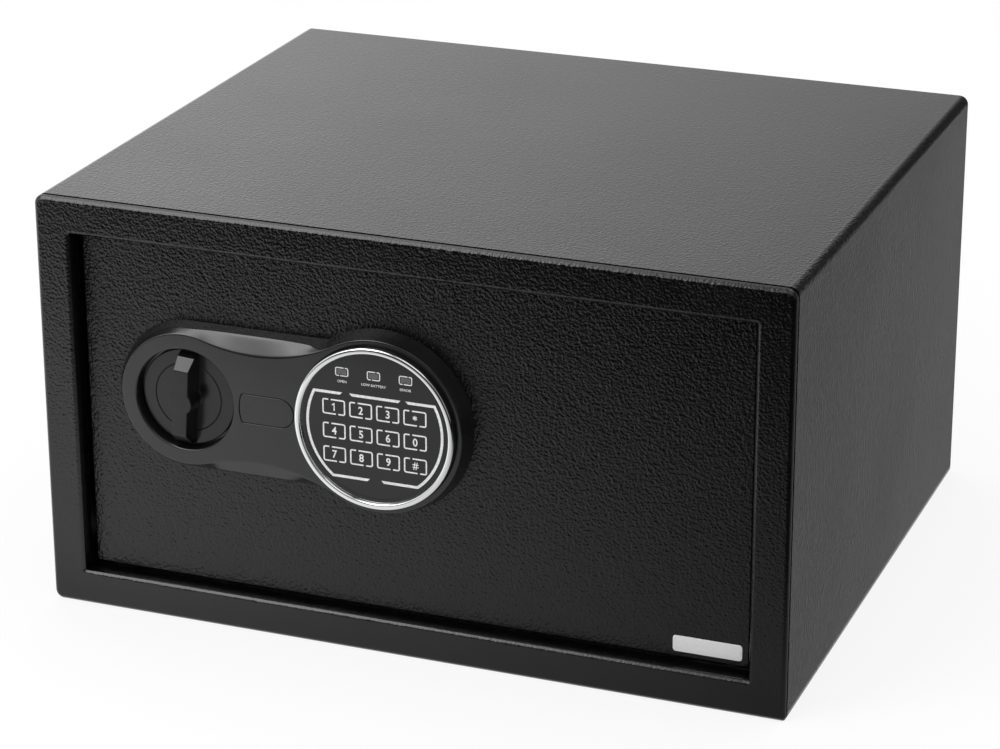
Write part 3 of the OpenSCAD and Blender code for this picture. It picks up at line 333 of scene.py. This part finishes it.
make("cabinet_paint", paint, *BLACK, 0.20, 0.00045)
make("frame_paint", paint, *BLACK, 0.18, 0.00033, fades=(CALM_LOW, CALM_EDGES))
make("wrap_paint", paint, (0.0022, 0.0022, 0.0024), (0.0034, 0.0034, 0.0036), 0.20, 0.00021,
     fades=(CALM_BACK, STRONG_SIDE))
make("door_paint", paint, (0.0020, 0.0020, 0.0022), (0.0032, 0.0032, 0.0034), 0.19, 0.00048,
     level=0.43, fades=(CALM_LOW,))
make("dark_steel", paint, (0.016, 0.016, 0.017), (0.03, 0.03, 0.032), 0.42, 0.00004, 700)
make("zinc_steel", steel, (0.42, 0.43, 0.44), (0.60, 0.60, 0.58), 0.36, EVEN, 60)
make("bright_steel", steel, (0.55, 0.56, 0.58), (0.72, 0.72, 0.73), 0.24)
make("mat_felt", felt)
make("housing_plastic", plastic, (0.0075, 0.0075, 0.008), (0.0105, 0.0105, 0.011), 0.20,
     level=0.58)
make("knob_plastic", plastic, (0.004, 0.004, 0.0043), (0.006, 0.006, 0.0063), 0.22, level=0.45)
make("ring_chrome", steel, (0.80, 0.81, 0.82), (0.86, 0.87, 0.88), 0.10, EVEN, 40)
make("panel_gloss", gloss)
make("silicone", plastic, (0.06, 0.06, 0.065), (0.09, 0.09, 0.095), 0.6, 0.00002, 900)
make("circuit_board", board)
make("led_lens", plastic, (0.25, 0.30, 0.26), (0.34, 0.38, 0.34), 0.3)
make("black_plastic", plastic, (0.010, 0.010, 0.011), (0.016, 0.016, 0.017), 0.45, 0.00003, 700)
make("coil_copper", winding)
make("lock_brass", steel, (0.50, 0.36, 0.13), (0.66, 0.49, 0.20), 0.3, EVEN, 90)
make("cell_wrap", cell_wrap)
make("lead_jacket", plastic, (0.18, 0.012, 0.010), (0.26, 0.02, 0.016), 0.4, 0.00001, 900)
make("button_red", plastic, (0.30, 0.012, 0.010), (0.38, 0.02, 0.016), 0.35, 0.00002, 900)
make("print_white", ink, (0.60, 0.60, 0.60), (0.78, 0.78, 0.77))
make("print_grey", ink, (0.068, 0.068, 0.070), (0.104, 0.104, 0.106))
make("sticker_silver", steel, (0.74, 0.74, 0.74), (0.84, 0.84, 0.84), 0.45, (1, 1, 6), 500, 0.35)

for sub in frame["record"]["subparts"]:
    obj = nodes.get(sub["node"])
    mat = MAT[sub["material_slot"]]
    for s in obj.material_slots:
        s.material = mat
    if not obj.material_slots:
        obj.data.materials.append(mat)


# Mesh helpers
def mesh_object(name, bm):
    """Object made of a bmesh, which is freed."""
    mesh = bpy.data.meshes.new(name)
    bm.to_mesh(mesh)
    bm.free()
    return new_object(name, mesh)


def even_normals(obj, weight):
    w = obj.modifiers.new("normals", "WEIGHTED_NORMAL")
    w.keep_sharp = True
    w.weight = weight


def finish_mesh(name, bm, mat, body, replaces=(), sharp=35, weight=60):
    """Smooth solid piece, sharp at edges above an angle. Weight 0 leaves its normals alone."""
    bmesh.ops.remove_doubles(bm, verts=bm.verts[:], dist=1e-6)
    bmesh.ops.recalc_face_normals(bm, faces=bm.faces[:])
    for f in bm.faces:
        f.smooth = True
    obj = mesh_object(name, bm)
    obj.data.materials.append(MAT[mat])
    obj.data.set_sharp_from_angle(angle=math.radians(sharp))
    if weight:
        even_normals(obj, weight)
    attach(obj, body)
    if replaces:
        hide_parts(*replaces)
    return obj


def circle_row(bm, x, z, r, d, n):
    return [bm.verts.new(at(x + r * math.cos(2 * math.pi * k / n), d,
                            z + r * math.sin(2 * math.pi * k / n))) for k in range(n)]


def lathe(bm, x, z, profile, n):
    """Profile of (radius, depth) pairs turned about a line through x and z."""
    rows = [circle_row(bm, x, z, r, d, n) if r else [bm.verts.new(at(x, d, z))]
            for r, d in profile]
    for a, b in zip(rows, rows[1:]):
        for k in range(n):
            q = [a[k % len(a)], a[(k + 1) % len(a)], b[(k + 1) % len(b)], b[k % len(b)]]
            q = [v for i, v in enumerate(q) if v not in q[:i]]
            if len(q) > 2:
                bm.faces.new(q)


def loft(bm, rows):
    """Closed rows of equal length, joined side by side."""
    for a, b in zip(rows, rows[1:]):
        n = len(a)
        for k in range(n):
            bm.faces.new((a[k], a[(k + 1) % n], b[(k + 1) % n], b[k]))


def fill(bm, *rows):
    """Flat face bounded by the first row, with the other rows as holes."""
    pairs = [(row[k - 1], row[k]) for row in rows for k in range(len(row))]
    edges = [bm.edges.get(pair) or bm.edges.new(pair) for pair in pairs]
    bmesh.ops.triangle_fill(bm, use_beauty=True, use_dissolve=False, edges=edges)


def outline_row(bm, points, d):
    return [bm.verts.new(at(x, d, z)) for x, z in points]


def quarter(r, n, start=0.0):
    """Insets and depths of a quarter round of radius r that starts at a depth."""
    return [(r - r * math.sin(a), start + r - r * math.cos(a))
            for a in (math.pi / 2 * k / n for k in range(n + 1))]


def rounded(x, z, w, h, r, n=4):
    """Rectangle with round corners, clockwise from the left end of its top right corner."""
    pts = []
    for cx, cz, a0 in ((1, 1, 90), (1, -1, 0), (-1, -1, -90), (-1, 1, -180)):
        for k in range(n + 1):
            a = math.radians(a0 - 90 * k / n)
            pts.append((x + cx * (w / 2 - r) + r * math.cos(a),
                        z + cz * (h / 2 - r) + r * math.sin(a)))
    return pts


# Lock housing

# The crest's waist is the arc that meets the crest circles of both ends smoothly. Its centre lies
# at root along the line of the lock, from the knob.
axis_gap = PAD_X - KNOB_X
crest_knob_r, crest_pad_r = KNOB_R - DRAFT - BAND_W, PAD_R - DRAFT - BAND_W / 2
share = (crest_pad_r - WAIST) / (crest_knob_r - WAIST)
constant = (axis_gap ** 2 - (crest_pad_r ** 2 - WAIST ** 2)
            + share * (crest_knob_r ** 2 - WAIST ** 2))
root = (axis_gap - math.sqrt(axis_gap ** 2 - (1 - share) * constant)) / (1 - share)
waist_r = (root ** 2 - crest_knob_r ** 2 + WAIST ** 2) / (2 * (crest_knob_r - WAIST))
knob_touch = root * crest_knob_r / (crest_knob_r + waist_r)
N_END, N_BRIDGE, N_PAD, N_CIRCLE = 72, 64, 128, 144


def housing_outline(r_end, r_pad, x_join, top):
    """Outline of the housing, anticlockwise from the left end's top. top(x) is its half height."""
    pts = []
    for k in range(N_END):
        a = math.pi / 2 + math.pi * k / N_END
        pts.append((r_end * math.cos(a), r_end * math.sin(a)))
    for k in range(N_BRIDGE):
        x = x_join * k / N_BRIDGE
        pts.append((x, -top(x)))
    a0 = math.atan2(-top(x_join), x_join - axis_gap)
    for k in range(N_PAD):
        a = a0 - 2 * a0 * k / N_PAD
        pts.append((axis_gap + r_pad * math.cos(a), r_pad * math.sin(a)))
    for k in range(N_BRIDGE):
        x = x_join - x_join * k / N_BRIDGE
        pts.append((x, top(x)))
    return [(KNOB_X + x, LOCK_Z + z) for x, z in pts]


def wall_outline(draft):
    r_end, r_pad = KNOB_R - draft, PAD_R - draft
    return housing_outline(r_end, r_pad, axis_gap - math.sqrt(r_pad ** 2 - r_end ** 2),
                           lambda x: r_end)


def crest_outline(inset=0.0):
    r_end, r_pad, r_waist = crest_knob_r - inset, crest_pad_r - inset, waist_r + inset

    def top(x):
        if x < knob_touch:
            return math.sqrt(max(0.0, r_end ** 2 - x * x))
        return WAIST + waist_r - math.sqrt(r_waist ** 2 - (x - root) ** 2)
    x_join = axis_gap + (root - axis_gap) * r_pad / (r_pad + r_waist)
    return housing_outline(r_end, r_pad, x_join, top)


def between(a, b, t):
    return [(p[0] + (q[0] - p[0]) * t, p[1] + (q[1] - p[1]) * t) for p, q in zip(a, b)]


def bend(a, b, c):
    """Four (outline, depth) pairs on a soft bend from pair a to pair c round pair b."""
    return [(between(between(a[0], b[0], t), between(b[0], c[0], t), t),
             (a[1] * (1 - t) + b[1] * t) * (1 - t) + (b[1] * (1 - t) + c[1] * t) * t)
            for t in (0.25, 0.5, 0.75, 1.0)]


def cover_outline(grow):
    """Outline of the key cover: round right end, straight sides, an arc at the left end."""
    r, big = COVER_END_R + grow, COVER_LEN + grow
    c = 1.6 + grow * 0.5
    zc = r - c
    xc = -math.sqrt((big - c) ** 2 - zc ** 2)
    a_in = math.atan2(zc, xc)
    arcs = [(0, 0, r, -math.pi / 2, math.pi / 2, 24, range(25)),
            (xc, zc, c, math.pi / 2, a_in, 6, range(7)),
            (0, 0, big, a_in, 2 * math.pi - a_in, 12, range(1, 12)),
            (xc, -zc, c, 2 * math.pi - a_in, 3 * math.pi / 2, 6, range(7))]
    pts = []
    for x, z, radius, a0, a1, steps, ks in arcs:
        for k in ks:
            a = a0 + (a1 - a0) * k / steps
            pts.append((COVER_X + x + radius * math.cos(a), LOCK_Z + z + radius * math.sin(a)))
    return pts


def make_housing():
    """Hollow for the knob, slot for the key cover and seat for the ring in one moulding."""
    bm = bmesh.new()
    back_d, slot_d = DOOR_D - 0.02, COVER_T + 0.2
    base, shoulder, crest = wall_outline(0.0), wall_outline(DRAFT), crest_outline()

    def wall(t):
        return between(base, shoulder, t), DOOR_D + (SHOULDER_D - DOOR_D) * t

    def band(t):
        return between(shoulder, crest, t), SHOULDER_D * (1 - t)

    steps = [(base, back_d), wall(0.55), wall(0.86)]
    steps += bend(wall(0.86), wall(1.0), band(0.13))
    steps += [band(t) for t in (0.3, 0.55, 0.8, 0.9)]
    steps += bend(band(0.9), band(1.0), (crest_outline(0.7), 0.0))
    rows = [outline_row(bm, pts, d) for pts, d in steps]
    loft(bm, rows)

    def circles(x, pairs, n=N_CIRCLE):
        out = [circle_row(bm, x, LOCK_Z, r, d, n) for r, d in pairs]
        loft(bm, out)
        return out

    well = circles(KNOB_X, [(WELL_R + i, d) for i, d in quarter(1.1, 5)]
                   + [(WELL_R, WELL_D - 0.5), (WELL_R - 0.15, WELL_D - 0.15),
                      (WELL_R - 0.5, WELL_D), (WELL_R - 13, WELL_D), (WELL_HOLE_R, WELL_D),
                      (WELL_HOLE_R, back_d)])
    slot = [outline_row(bm, cover_outline(COVER_GAP + i), d)
            for i, d in quarter(0.3, 3) + [(0.0, slot_d)]]
    loft(bm, slot)
    hole = circles(KEY_X, [(KEY_HOLE_R, slot_d), (KEY_HOLE_R, back_d)], 48)
    fill(bm, slot[-1], hole[0])
    seat_r = RING_R + SEAT_GAP
    seat = circles(PAD_X, [(seat_r + i, d) for i, d in quarter(0.35, 3)]
                   + [(seat_r, SEAT_D), (LEDGE_R, SEAT_D), (LEDGE_R, LEDGE_D),
                      (LEDGE_HOLE_R, LEDGE_D), (LEDGE_HOLE_R, back_d)])
    fill(bm, rows[-1], well[0], slot[0], seat[0])
    fill(bm, rows[0], well[-1], hole[-1], seat[-1])
    finish_mesh("housing_shell", bm, "housing_plastic", "door",
                ("lock_housing",))


# Knob
def make_knob():
    """Grooved disc, grip blade and boss in one piece."""
    bm = bmesh.new()
    g, w = GROOVE_R, GROOVE_HALF
    deep, slope = DISC_D + GROOVE_DEEP, DISC_D + 0.12
    face = [(0, DISC_D), (g - w - 0.15, DISC_D), (g - w, slope), (g - 0.1, deep), (g + 0.1, deep),
            (g + w, slope), (g + w + 0.15, DISC_D), (DISC_R - 0.9, DISC_D)]
    edge = [(DISC_R - i, d) for i, d in quarter(0.55, 4, DISC_D)]
    back_d = DISC_D + DISC_T
    back = [(DISC_R, back_d - 0.4), (DISC_R - 0.4, back_d), (7.5, back_d), (7.5, 8.9), (0, 8.9)]
    lathe(bm, KNOB_X, LOCK_Z, face + edge + back, N_CIRCLE)

    blade = bmesh.new()
    profile = [(DISC_D + 0.6, 25.9), (DISC_D, 25.8), (0.0, 24.4), (-GRIP_PROUD, 18.5)]
    profile += [(d, -z) for d, z in reversed(profile)]
    turn = Matrix.Rotation(math.radians(GRIP_LEAN), 3, "Y")
    sides = []
    for s in (-1, 1):
        row = []
        for d, z in profile:
            t = (d + GRIP_PROUD) / (DISC_D + GRIP_PROUD)
            half = (GRIP_W + (GRIP_BASE_W - GRIP_W) * t) / 2
            v = turn @ Vector((s * half, 0, z))
            row.append(blade.verts.new(at(KNOB_X + v.x, d, LOCK_Z + v.z)))
        sides.append(row)
    loft(blade, sides)
    blade.faces.new(sides[0])
    blade.faces.new(list(reversed(sides[1])))
    bmesh.ops.recalc_face_normals(blade, faces=blade.faces[:])
    edges = [e for e in blade.edges if e.calc_face_angle(0) > math.radians(8)]
    bmesh.ops.bevel(blade, geom=edges, offset=0.00045, segments=3, profile=0.6,
                    affect="EDGES", clamp_overlap=True)
    blade_mesh = bpy.data.meshes.new("blade")
    blade.to_mesh(blade_mesh)
    blade.free()
    bm.from_mesh(blade_mesh)
    bpy.data.meshes.remove(blade_mesh)

    top = -GRIP_PROUD - 0.02
    boss = [(0, top)] + [(BOSS_R - i, d) for i, d in quarter(0.6, 4, top)]
    boss += [(7.0, -1.0), (7.4, DISC_D - 0.5), (7.9, DISC_D + 0.05)]
    lathe(bm, KNOB_X, LOCK_Z, boss, 96)
    finish_mesh("knob_grip", bm, "knob_plastic", "knob", ("knob",), sharp=32)


# Key cover
def make_key_cover():
    """Cover with grip dots and two snaps behind it."""
    bm = bmesh.new()
    rows = [outline_row(bm, cover_outline(-i), d) for i, d in quarter(0.3, 3) + [(0.0, COVER_T)]]
    loft(bm, rows)
    fill(bm, rows[0])
    fill(bm, rows[-1])
    dot = [(0, -0.22), (0.22, -0.18), (0.38, -0.06), (0.42, 0.01)]
    for i in range(4):
        for j in range(4):
            lathe(bm, COVER_X - COVER_LEN + 2.9 + 1.35 * i, LOCK_Z + 1.35 * (j - 1.5), dot, 12)
    for s in (-1, 1):
        z = LOCK_Z + s * 6.25
        for v in bmesh.ops.create_cube(bm, size=1.0)["verts"]:
            barb = 0.25 * s if v.co.y > 0 else 0.0
            v.co = at(KEY_X + v.co.x * 4, 4.0 + v.co.y * 4, z + v.co.z * 0.8 + barb)
    finish_mesh("key_lid", bm, "housing_plastic", "key_cover", ("key_cover",))


# Chrome ring
def smooth_line(pts):
    """Two points added in each span but the first, on a curve. The last point only guides it."""
    out = pts[:2]
    for a, b, c, e in zip(pts, pts[1:], pts[2:], pts[3:]):
        for t in (1 / 3, 2 / 3, 1.0):
            out.append(tuple(0.5 * (2 * q + (r - p) * t + (2 * p - 5 * q + 4 * r - s) * t * t
                                    + (3 * q - p - 3 * r + s) * t ** 3)
                             for p, q, r, s in zip(a, b, c, e)))
    return out


def make_ring():
    """Chrome ring with a dark edge inside its crest, and a dark plastic sleeve on its flank that
    is a painted reflection: it stands in for the dark housing mirrored in the chrome.
    """
    bm = bmesh.new()
    crest = [(RING_R, SEAT_D), (RING_R, -2.2), (RING_R, -2.9), (44.93, -3.3), (44.75, -3.6),
             (44.45, -3.82), (44.0, -3.94), (43.4, -3.97), (42.7, -3.95), (42.2, -3.82),
             (41.85, -3.45), (41.65, -2.9), (41.52, -2.4), (41.4, -2.08), (41.2, -1.99),
             (PANEL_R, -1.98)]
    inside = [(PANEL_R, -1.98), (PANEL_R, PANEL_D), (PANEL_R + 1, PANEL_D), (PANEL_R + 1, SEAT_D),
              (RING_R, SEAT_D)]
    lathe(bm, PAD_X, LOCK_Z, smooth_line(crest) + inside, 288)
    finish_mesh("bezel", bm, "ring_chrome", "door", ("chrome_ring",), sharp=50,
                weight=0)
    bm = bmesh.new()
    lathe(bm, PAD_X, LOCK_Z, [(39.6, -1.9), (39.6, -2.04), (PANEL_EDGE_R, -2.04),
                              (PANEL_EDGE_R, -1.9), (39.6, -1.9)], N_CIRCLE)
    finish_mesh("panel_edge", bm, "panel_gloss", "door", sharp=30, weight=0)
    bm = bmesh.new()
    # Dark sleeve over the chrome flank: a painted reflection of the dark housing, put where the
    # chrome would mirror it.
    lathe(bm, PAD_X, LOCK_Z, [(44.8, 1.1), (44.8, -2.6), (45.0, -3.05), (45.1, -2.95),
                              (REFLECTION_SLEEVE_R, -2.8), (REFLECTION_SLEEVE_R, 1.1), (44.8, 1.1)], 288)
    finish_mesh("painted_reflection_sleeve", bm, "housing_plastic", "door", sharp=50,
                weight=0)


# Keypad print
def ribbon(bm, pts, width, d=PRINT_D, slants=(0, 0)):
    """Flat stroke along points, with mitred corners. Slants slide the sides of an end apart."""
    left, right = [], []
    last = len(pts) - 1
    for i, (x, z) in enumerate(pts):
        p = Vector((x, z))
        t0 = (p - Vector(pts[i - 1])).normalized() if i > 0 else None
        t1 = (Vector(pts[i + 1]) - p).normalized() if i < last else None
        t = ((t0 or t1) + (t1 or t0)).normalized()
        off = Vector((-t.y, t.x)) * width / 2
        if 0 < i < last:
            off /= max(0.5, Vector((-t.y, t.x)).dot(Vector((-t0.y, t0.x))))
        else:
            off += t * slants[0 if i == 0 else 1]
        left.append(bm.verts.new(at(x + off.x, d, z + off.y)))
        right.append(bm.verts.new(at(x - off.x, d, z - off.y)))
    for i in range(last):
        bm.faces.new((left[i], right[i], right[i + 1], left[i + 1]))


def broken_frame(bm, x, z, w, h, r, width, top_gap, low_gap):
    """Rounded frame in two strokes. Each gap is given by its ends, in shares of the width."""
    path = rounded(x, z, w, h, r)
    half = len(path) // 2
    top = [(x + (end - 0.5) * w, z + h / 2) for end in top_gap]
    low = [(x + (end - 0.5) * w, z - h / 2) for end in low_gap]
    ribbon(bm, [top[1]] + path[:half] + [low[1]], width)
    ribbon(bm, [low[0]] + path[half:] + [top[0]], width)


def glyph(bm, text, x, z, size, bold, squeeze):
    """Flat text centred on its own outline."""
    curve = bpy.data.curves.new("glyph", "FONT")
    curve.body = text
    curve.size = size
    curve.offset = bold
    curve.resolution_u = 4
    obj = new_object("glyph", curve)
    mesh = obj.to_mesh()
    xs, zs = ([v.co[i] for v in mesh.vertices] for i in (0, 1))
    mid_x, mid_z = (min(xs) + max(xs)) / 2, (min(zs) + max(zs)) / 2
    verts = [bm.verts.new(at(x + (v.co.x - mid_x) * squeeze, PRINT_D, z + v.co.y - mid_z))
             for v in mesh.vertices]
    for p in mesh.polygons:
        bm.faces.new([verts[i] for i in p.vertices])
    obj.to_mesh_clear()
    bpy.data.objects.remove(obj)
    bpy.data.curves.remove(curve)


def key_character(bm, ch, x, z):
    """Star, hash and one are drawn as strokes, all others as text."""
    if ch == "*":
        for k in range(3):
            a = math.radians(90 + 60 * k)
            c, s = 1.35 * math.cos(a), 1.35 * math.sin(a)
            ribbon(bm, [(x + c, z + 0.2 + s), (x - c, z + 0.2 - s)], 0.55,
                   PRINT_D - PRINT_LAYER * k)
    elif ch == "#":
        for k in (-0.62, 0.62):
            ribbon(bm, [(x + k + 0.35, z + 2.1), (x + k - 0.35, z - 2.1)], 0.5)
        for k in (-0.72, 0.72):
            ribbon(bm, [(x - 1.75, z + k), (x + 1.75, z + k)], 0.5, PRINT_D - PRINT_LAYER)
    elif ch == "1":
        ribbon(bm, [(x - 0.95, z + 1.0), (x + 0.2, z + 1.85), (x + 0.2, z - 2.2)], 0.62)
    else:
        glyph(bm, ch, x, z, 6.1, 0.12, 0.9)


def line_round_keys(bm):
    """Two curved sides and a straight stroke at the top."""
    top, low = LOCK_Z + LINE_UP, LOCK_Z - LINE_DOWN
    a_top, a_low = math.asin(LINE_UP / LINE_R), -math.asin(LINE_DOWN / LINE_R)
    for s, top_end, low_end in ((-1, -18.6, -3.7), (1, 18.3, 4.2)):
        pts = [(PAD_X + top_end, top)]
        for k in range(33):
            a = a_top + (a_low - a_top) * k / 32
            pts.append((PAD_X + s * LINE_R * math.cos(a), LOCK_Z + LINE_R * math.sin(a)))
        pts.append((PAD_X + low_end, low))
        ribbon(bm, pts, LINE_W, slants=(-LINE_SLANT * s, -LINE_SLANT * s))
    ribbon(bm, [(PAD_X - 13.2, top), (PAD_X + 14.3, top)], LINE_W,
           slants=(-LINE_SLANT, LINE_SLANT))


def finish_print(name, bm, mat):
    """Flat faces that all look to the front."""
    for f in bm.faces:
        f.normal_update()
        if f.normal.y > 0:
            f.normal_flip()
    obj = mesh_object(name, bm)
    obj.data.materials.append(MAT[mat])
    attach(obj, "door")


def make_print():
    bm = bmesh.new()
    for j, row in enumerate(("123*", "4560", "789#")):
        for i, ch in enumerate(row):
            x = PAD_X + (i - 1.5) * BUTTON_PITCH_X
            z = LOCK_Z + BUTTON_UP - j * BUTTON_PITCH_Z
            broken_frame(bm, x, z, BUTTON_W, BUTTON_H, 0.9, 0.8, (0.25, 0.37), (0.59, 0.71))
            key_character(bm, ch, x, z)
    lamp_xs = [PAD_X + i * LAMP_PITCH for i in (-1, 0, 1)]
    lamp_z = LOCK_Z + LAMP_UP
    for x, word in zip(lamp_xs, ("OPEN", "LOW BATTERY", "ERROR")):
        broken_frame(bm, x, lamp_z, 6.9, 4.4, 0.8, 0.55, (0.66, 0.76), (0.27, 0.37))
        glyph(bm, word, x, lamp_z - 5.3, 1.95, 0.02, 1.05)
    line_round_keys(bm)
    finish_print("keypad_print", bm, "print_white")

    bm = bmesh.new()
    for x in lamp_xs:
        bm.faces.new(outline_row(bm, rounded(x, lamp_z, 5.3, 3.0, 0.5), PRINT_D + 0.01))
    finish_print("status_windows", bm, "print_grey")


# Cabinet's outside
def swept_rows(bm, section, lip_end=None):
    """Closed section of (inset, corner radius, depth) swept round the cabinet's front.

    The outer lower right corner is sharper than the others. Rows at depth lip_end reach further
    back at the left, where the bolts run behind them.
    """
    mid_z = BODY_H / 2
    rows = []
    for inset, r, d in section:
        w, h = BODY_W - 2 * inset, BODY_H - 2 * inset
        low_r = SHARP_SHARE * r if inset < LIP_W / 2 else r
        pts = [q if q[0] > 0 and q[1] < mid_z else p
               for p, q in zip(rounded(0, mid_z, w, h, r, 8), rounded(0, mid_z, w, h, low_r, 8))]
        left_d = d + BOLT_LIP_MORE if d == lip_end else d
        rows.append([bm.verts.new(at(x, left_d if x < 0.01 - w / 2 else d, z)) for x, z in pts])
    loft(bm, rows + rows[:1])


def make_frame():
    """Front frame with a return round the opening and a flange inside the wrap."""
    bm = bmesh.new()
    inner_w, inner_r = LIP_W - SHEET_T, CORNER_R - SHEET_T
    section = [(0.0, CORNER_R, SEAM_D)]
    section += [(i, CORNER_R - i, d) for d, i in quarter(FRONT_EDGE_R, 8)]
    section += [(LIP_W - i, 0.4 + OPENING_R - 0.99 * (OPENING_R - i), d)
                for i, d in quarter(OPENING_R, 8)]
    section += [(LIP_W, 0.42, LIP_D), (inner_w, 0.6, LIP_D), (inner_w, 0.6, SHEET_T),
                (FLANGE_IN, 1.0, SHEET_T), (FLANGE_IN, 1.0, FLANGE_D),
                (SHEET_T, inner_r, FLANGE_D), (SHEET_T, inner_r, SEAM_D)]
    swept_rows(bm, section, LIP_D)
    finish_mesh("frame_face", bm, "frame_paint", "cabinet", ("front_frame",))


def make_wrap():
    """Folded wrap with four anchor holes in its floor."""
    bm = bmesh.new()
    inner_r = CORNER_R - SHEET_T
    swept_rows(bm, [(0.0, CORNER_R, WRAP_D), (0.0, CORNER_R, BODY_D),
                    (SHEET_T, inner_r, BODY_D), (SHEET_T, inner_r, WRAP_D)])
    wrap = finish_mesh("wrap_shell", bm, "wrap_paint", "cabinet",
                       ("body_wrap",), weight=0)
    bm = bmesh.new()
    for x in (-ANCHOR_X, ANCHOR_X):
        for d in (BODY_D / 2 - ANCHOR_D, BODY_D / 2 + ANCHOR_D):
            bmesh.ops.create_cone(bm, cap_ends=True, segments=40, radius1=ANCHOR_R * MM,
                                  radius2=ANCHOR_R * MM, depth=8 * MM,
                                  matrix=Matrix.Translation(at(x, d, SHEET_T / 2)))
    cutter = mesh_object("cutter", bm)
    cut = wrap.modifiers.new("holes", "BOOLEAN")
    cut.operation = "DIFFERENCE"
    cut.solver = "EXACT"
    cut.object = cutter
    drilled = wrap.evaluated_get(bpy.context.evaluated_depsgraph_get())
    mesh = bpy.data.meshes.new_from_object(drilled)
    wrap.modifiers.clear()
    wrap.data = mesh
    mesh.set_sharp_from_angle(angle=math.radians(35))
    bpy.data.objects.remove(cutter)
    even_normals(wrap, 50)


# Sticker
def make_sticker():
    """Bare sticker with a softened front edge."""
    bm = bmesh.new()
    rows = []
    for inset, d in ((0.0, DOOR_D + 0.01), (0.0, DOOR_D - 0.12), (0.12, DOOR_D - 0.2)):
        w, h = STICKER_W - 2 * inset, STICKER_H - 2 * inset
        rows.append(outline_row(bm, rounded(STICKER_X, STICKER_Z, w, h, 1.6 - inset / 2, 5), d))
    loft(bm, rows)
    fill(bm, rows[-1])
    fill(bm, rows[0])
    finish_mesh("blank_sticker", bm, "sticker_silver", "door", sharp=60)


make_frame()
make_wrap()
make_housing()
make_knob()
make_key_cover()
make_ring()
make_print()
make_sticker()


# Studio
def quad(name, corners, mat):
    mesh = bpy.data.meshes.new(name)
    mesh.from_pydata(corners, [], [(0, 1, 2, 3)])
    mesh.materials.append(mat)
    obj = new_object(name, mesh)
    return obj


def span(x0, x1, low, high):
    """Corners of a rectangle between two edges that run along X, each at its (y, z)."""
    return [(x0, *low), (x1, *low), (x1, *high), (x0, *high)]


def card(name, corners, glow, *fades):
    """Card that only reflections see. Each fade (direction, lo, hi, a, b) changes its glow."""
    m = Nodes(name)
    for fade in fades:
        glow = m.math("MULTIPLY", m.along(*fade), glow)
    m.surface(m.add("Emission", Strength=glow).outputs["Emission"])
    m.tree.nodes.remove(m.bsdf)
    obj = quad(name, corners, m.mat)
    for kind in ("camera", "diffuse", "shadow", "transmission"):
        setattr(obj, "visible_" + kind, False)


def area(name, place, aim, size, power):
    light = bpy.data.lights.new(name, "AREA")
    light.shape = "RECTANGLE"
    light.size, light.size_y = size
    light.energy = power
    obj = new_object(name, light)
    obj.location = place
    obj.rotation_euler = (Vector(aim) - Vector(place)).to_track_quat("-Z", "Y").to_euler()


def add_floor():
    """White floor that shows nearly as bright as the world behind it."""
    m = Nodes("floor_white")
    m.to("Base Color", m.tint(m.noise(3, 2), (0.9207,) * 3, (0.93,) * 3))
    m.to("Roughness", 0.9)
    m.to("Specular IOR Level", 0.0)
    glow = m.add("Emission", Strength=1.03)
    m.surface(m.mix(m.math("MULTIPLY", m.seen(), 0.80), m.bsdf, glow))
    quad("floor", span(-8, 8, (-8, 0), (8, 0)), m.mat)


def add_world():
    """White all round, a little weaker for diffuse light than for what is seen."""
    scene.world = bpy.data.worlds.new("studio")
    w = Tree(scene.world)
    w.tree.nodes.clear()
    fill_light, seen_light = (w.add("Background", Color=(1, 1, 1, 1), Strength=strength)
                              for strength in (0.75, 1.0))
    w.add("OutputWorld", Surface=w.mix(w.seen(), fill_light, seen_light))


add_floor()
add_world()
area("key_light", (-0.75, -1.12, 1.08), (-0.05, -0.17, 0.13), (0.85, 1.1), 8.0)
area("top_light", (0.1, 0.5, 2.4), (0, 0, 0.1), (1.6, 1.2), 10)

# What the paint, the housing and the ring reflect, in metres
card("front_card", span(-3, 3, (-3.9, 0.002), (-0.165, 0.002)), 1.16,
     ((1, -0.55, 0), -0.06, 0.50, 1.0, 0.02), ((0.25, -1, 0), 0.50, 0.66, 1.0, 0.02),
     ((0, -1, 0), 0.18, 0.25, 0.76, 1.0))
card("front_flag", span(-3, 3, (-3.9, 0.0), (-3.9, 2.2)), 1.0, ((0, 0, 1), 1.1, 2.2, 0.0, 1.0))
card("side_card", span(0.2, 1.6, (-0.18, 0.003), (1.4, 0.003)), 0.33)
card("back_card", span(-2.2, 1.6, (0.95, 0.02), (0.95, 1.8)), 0.88,
     ((1, 0, 0.15), -0.70, 0.05, 1.42, 0.74), ((1, 0, 0.15), 0.08, 0.40, 1.0, 0.1))
card("right_flag", [(2.4, -3.9, 0.0), (2.4, 1.0, 0.0), (2.4, 1.0, 3.0), (2.4, -3.9, 3.0)], 0.25)
card("top_card", span(-0.95, 0.05, (-0.20, 1.41), (0.75, 1.41)), 2.7,
     ((1, 0, 0), -0.52, 0.02, 1.0, 0.03))
card("hot_card", span(-0.95, 0.05, (-1.30, 0.86), (-0.20, 1.40)), 5.0,
     ((1, 0, 0), -0.52, -0.02, 1.0, 0.03))
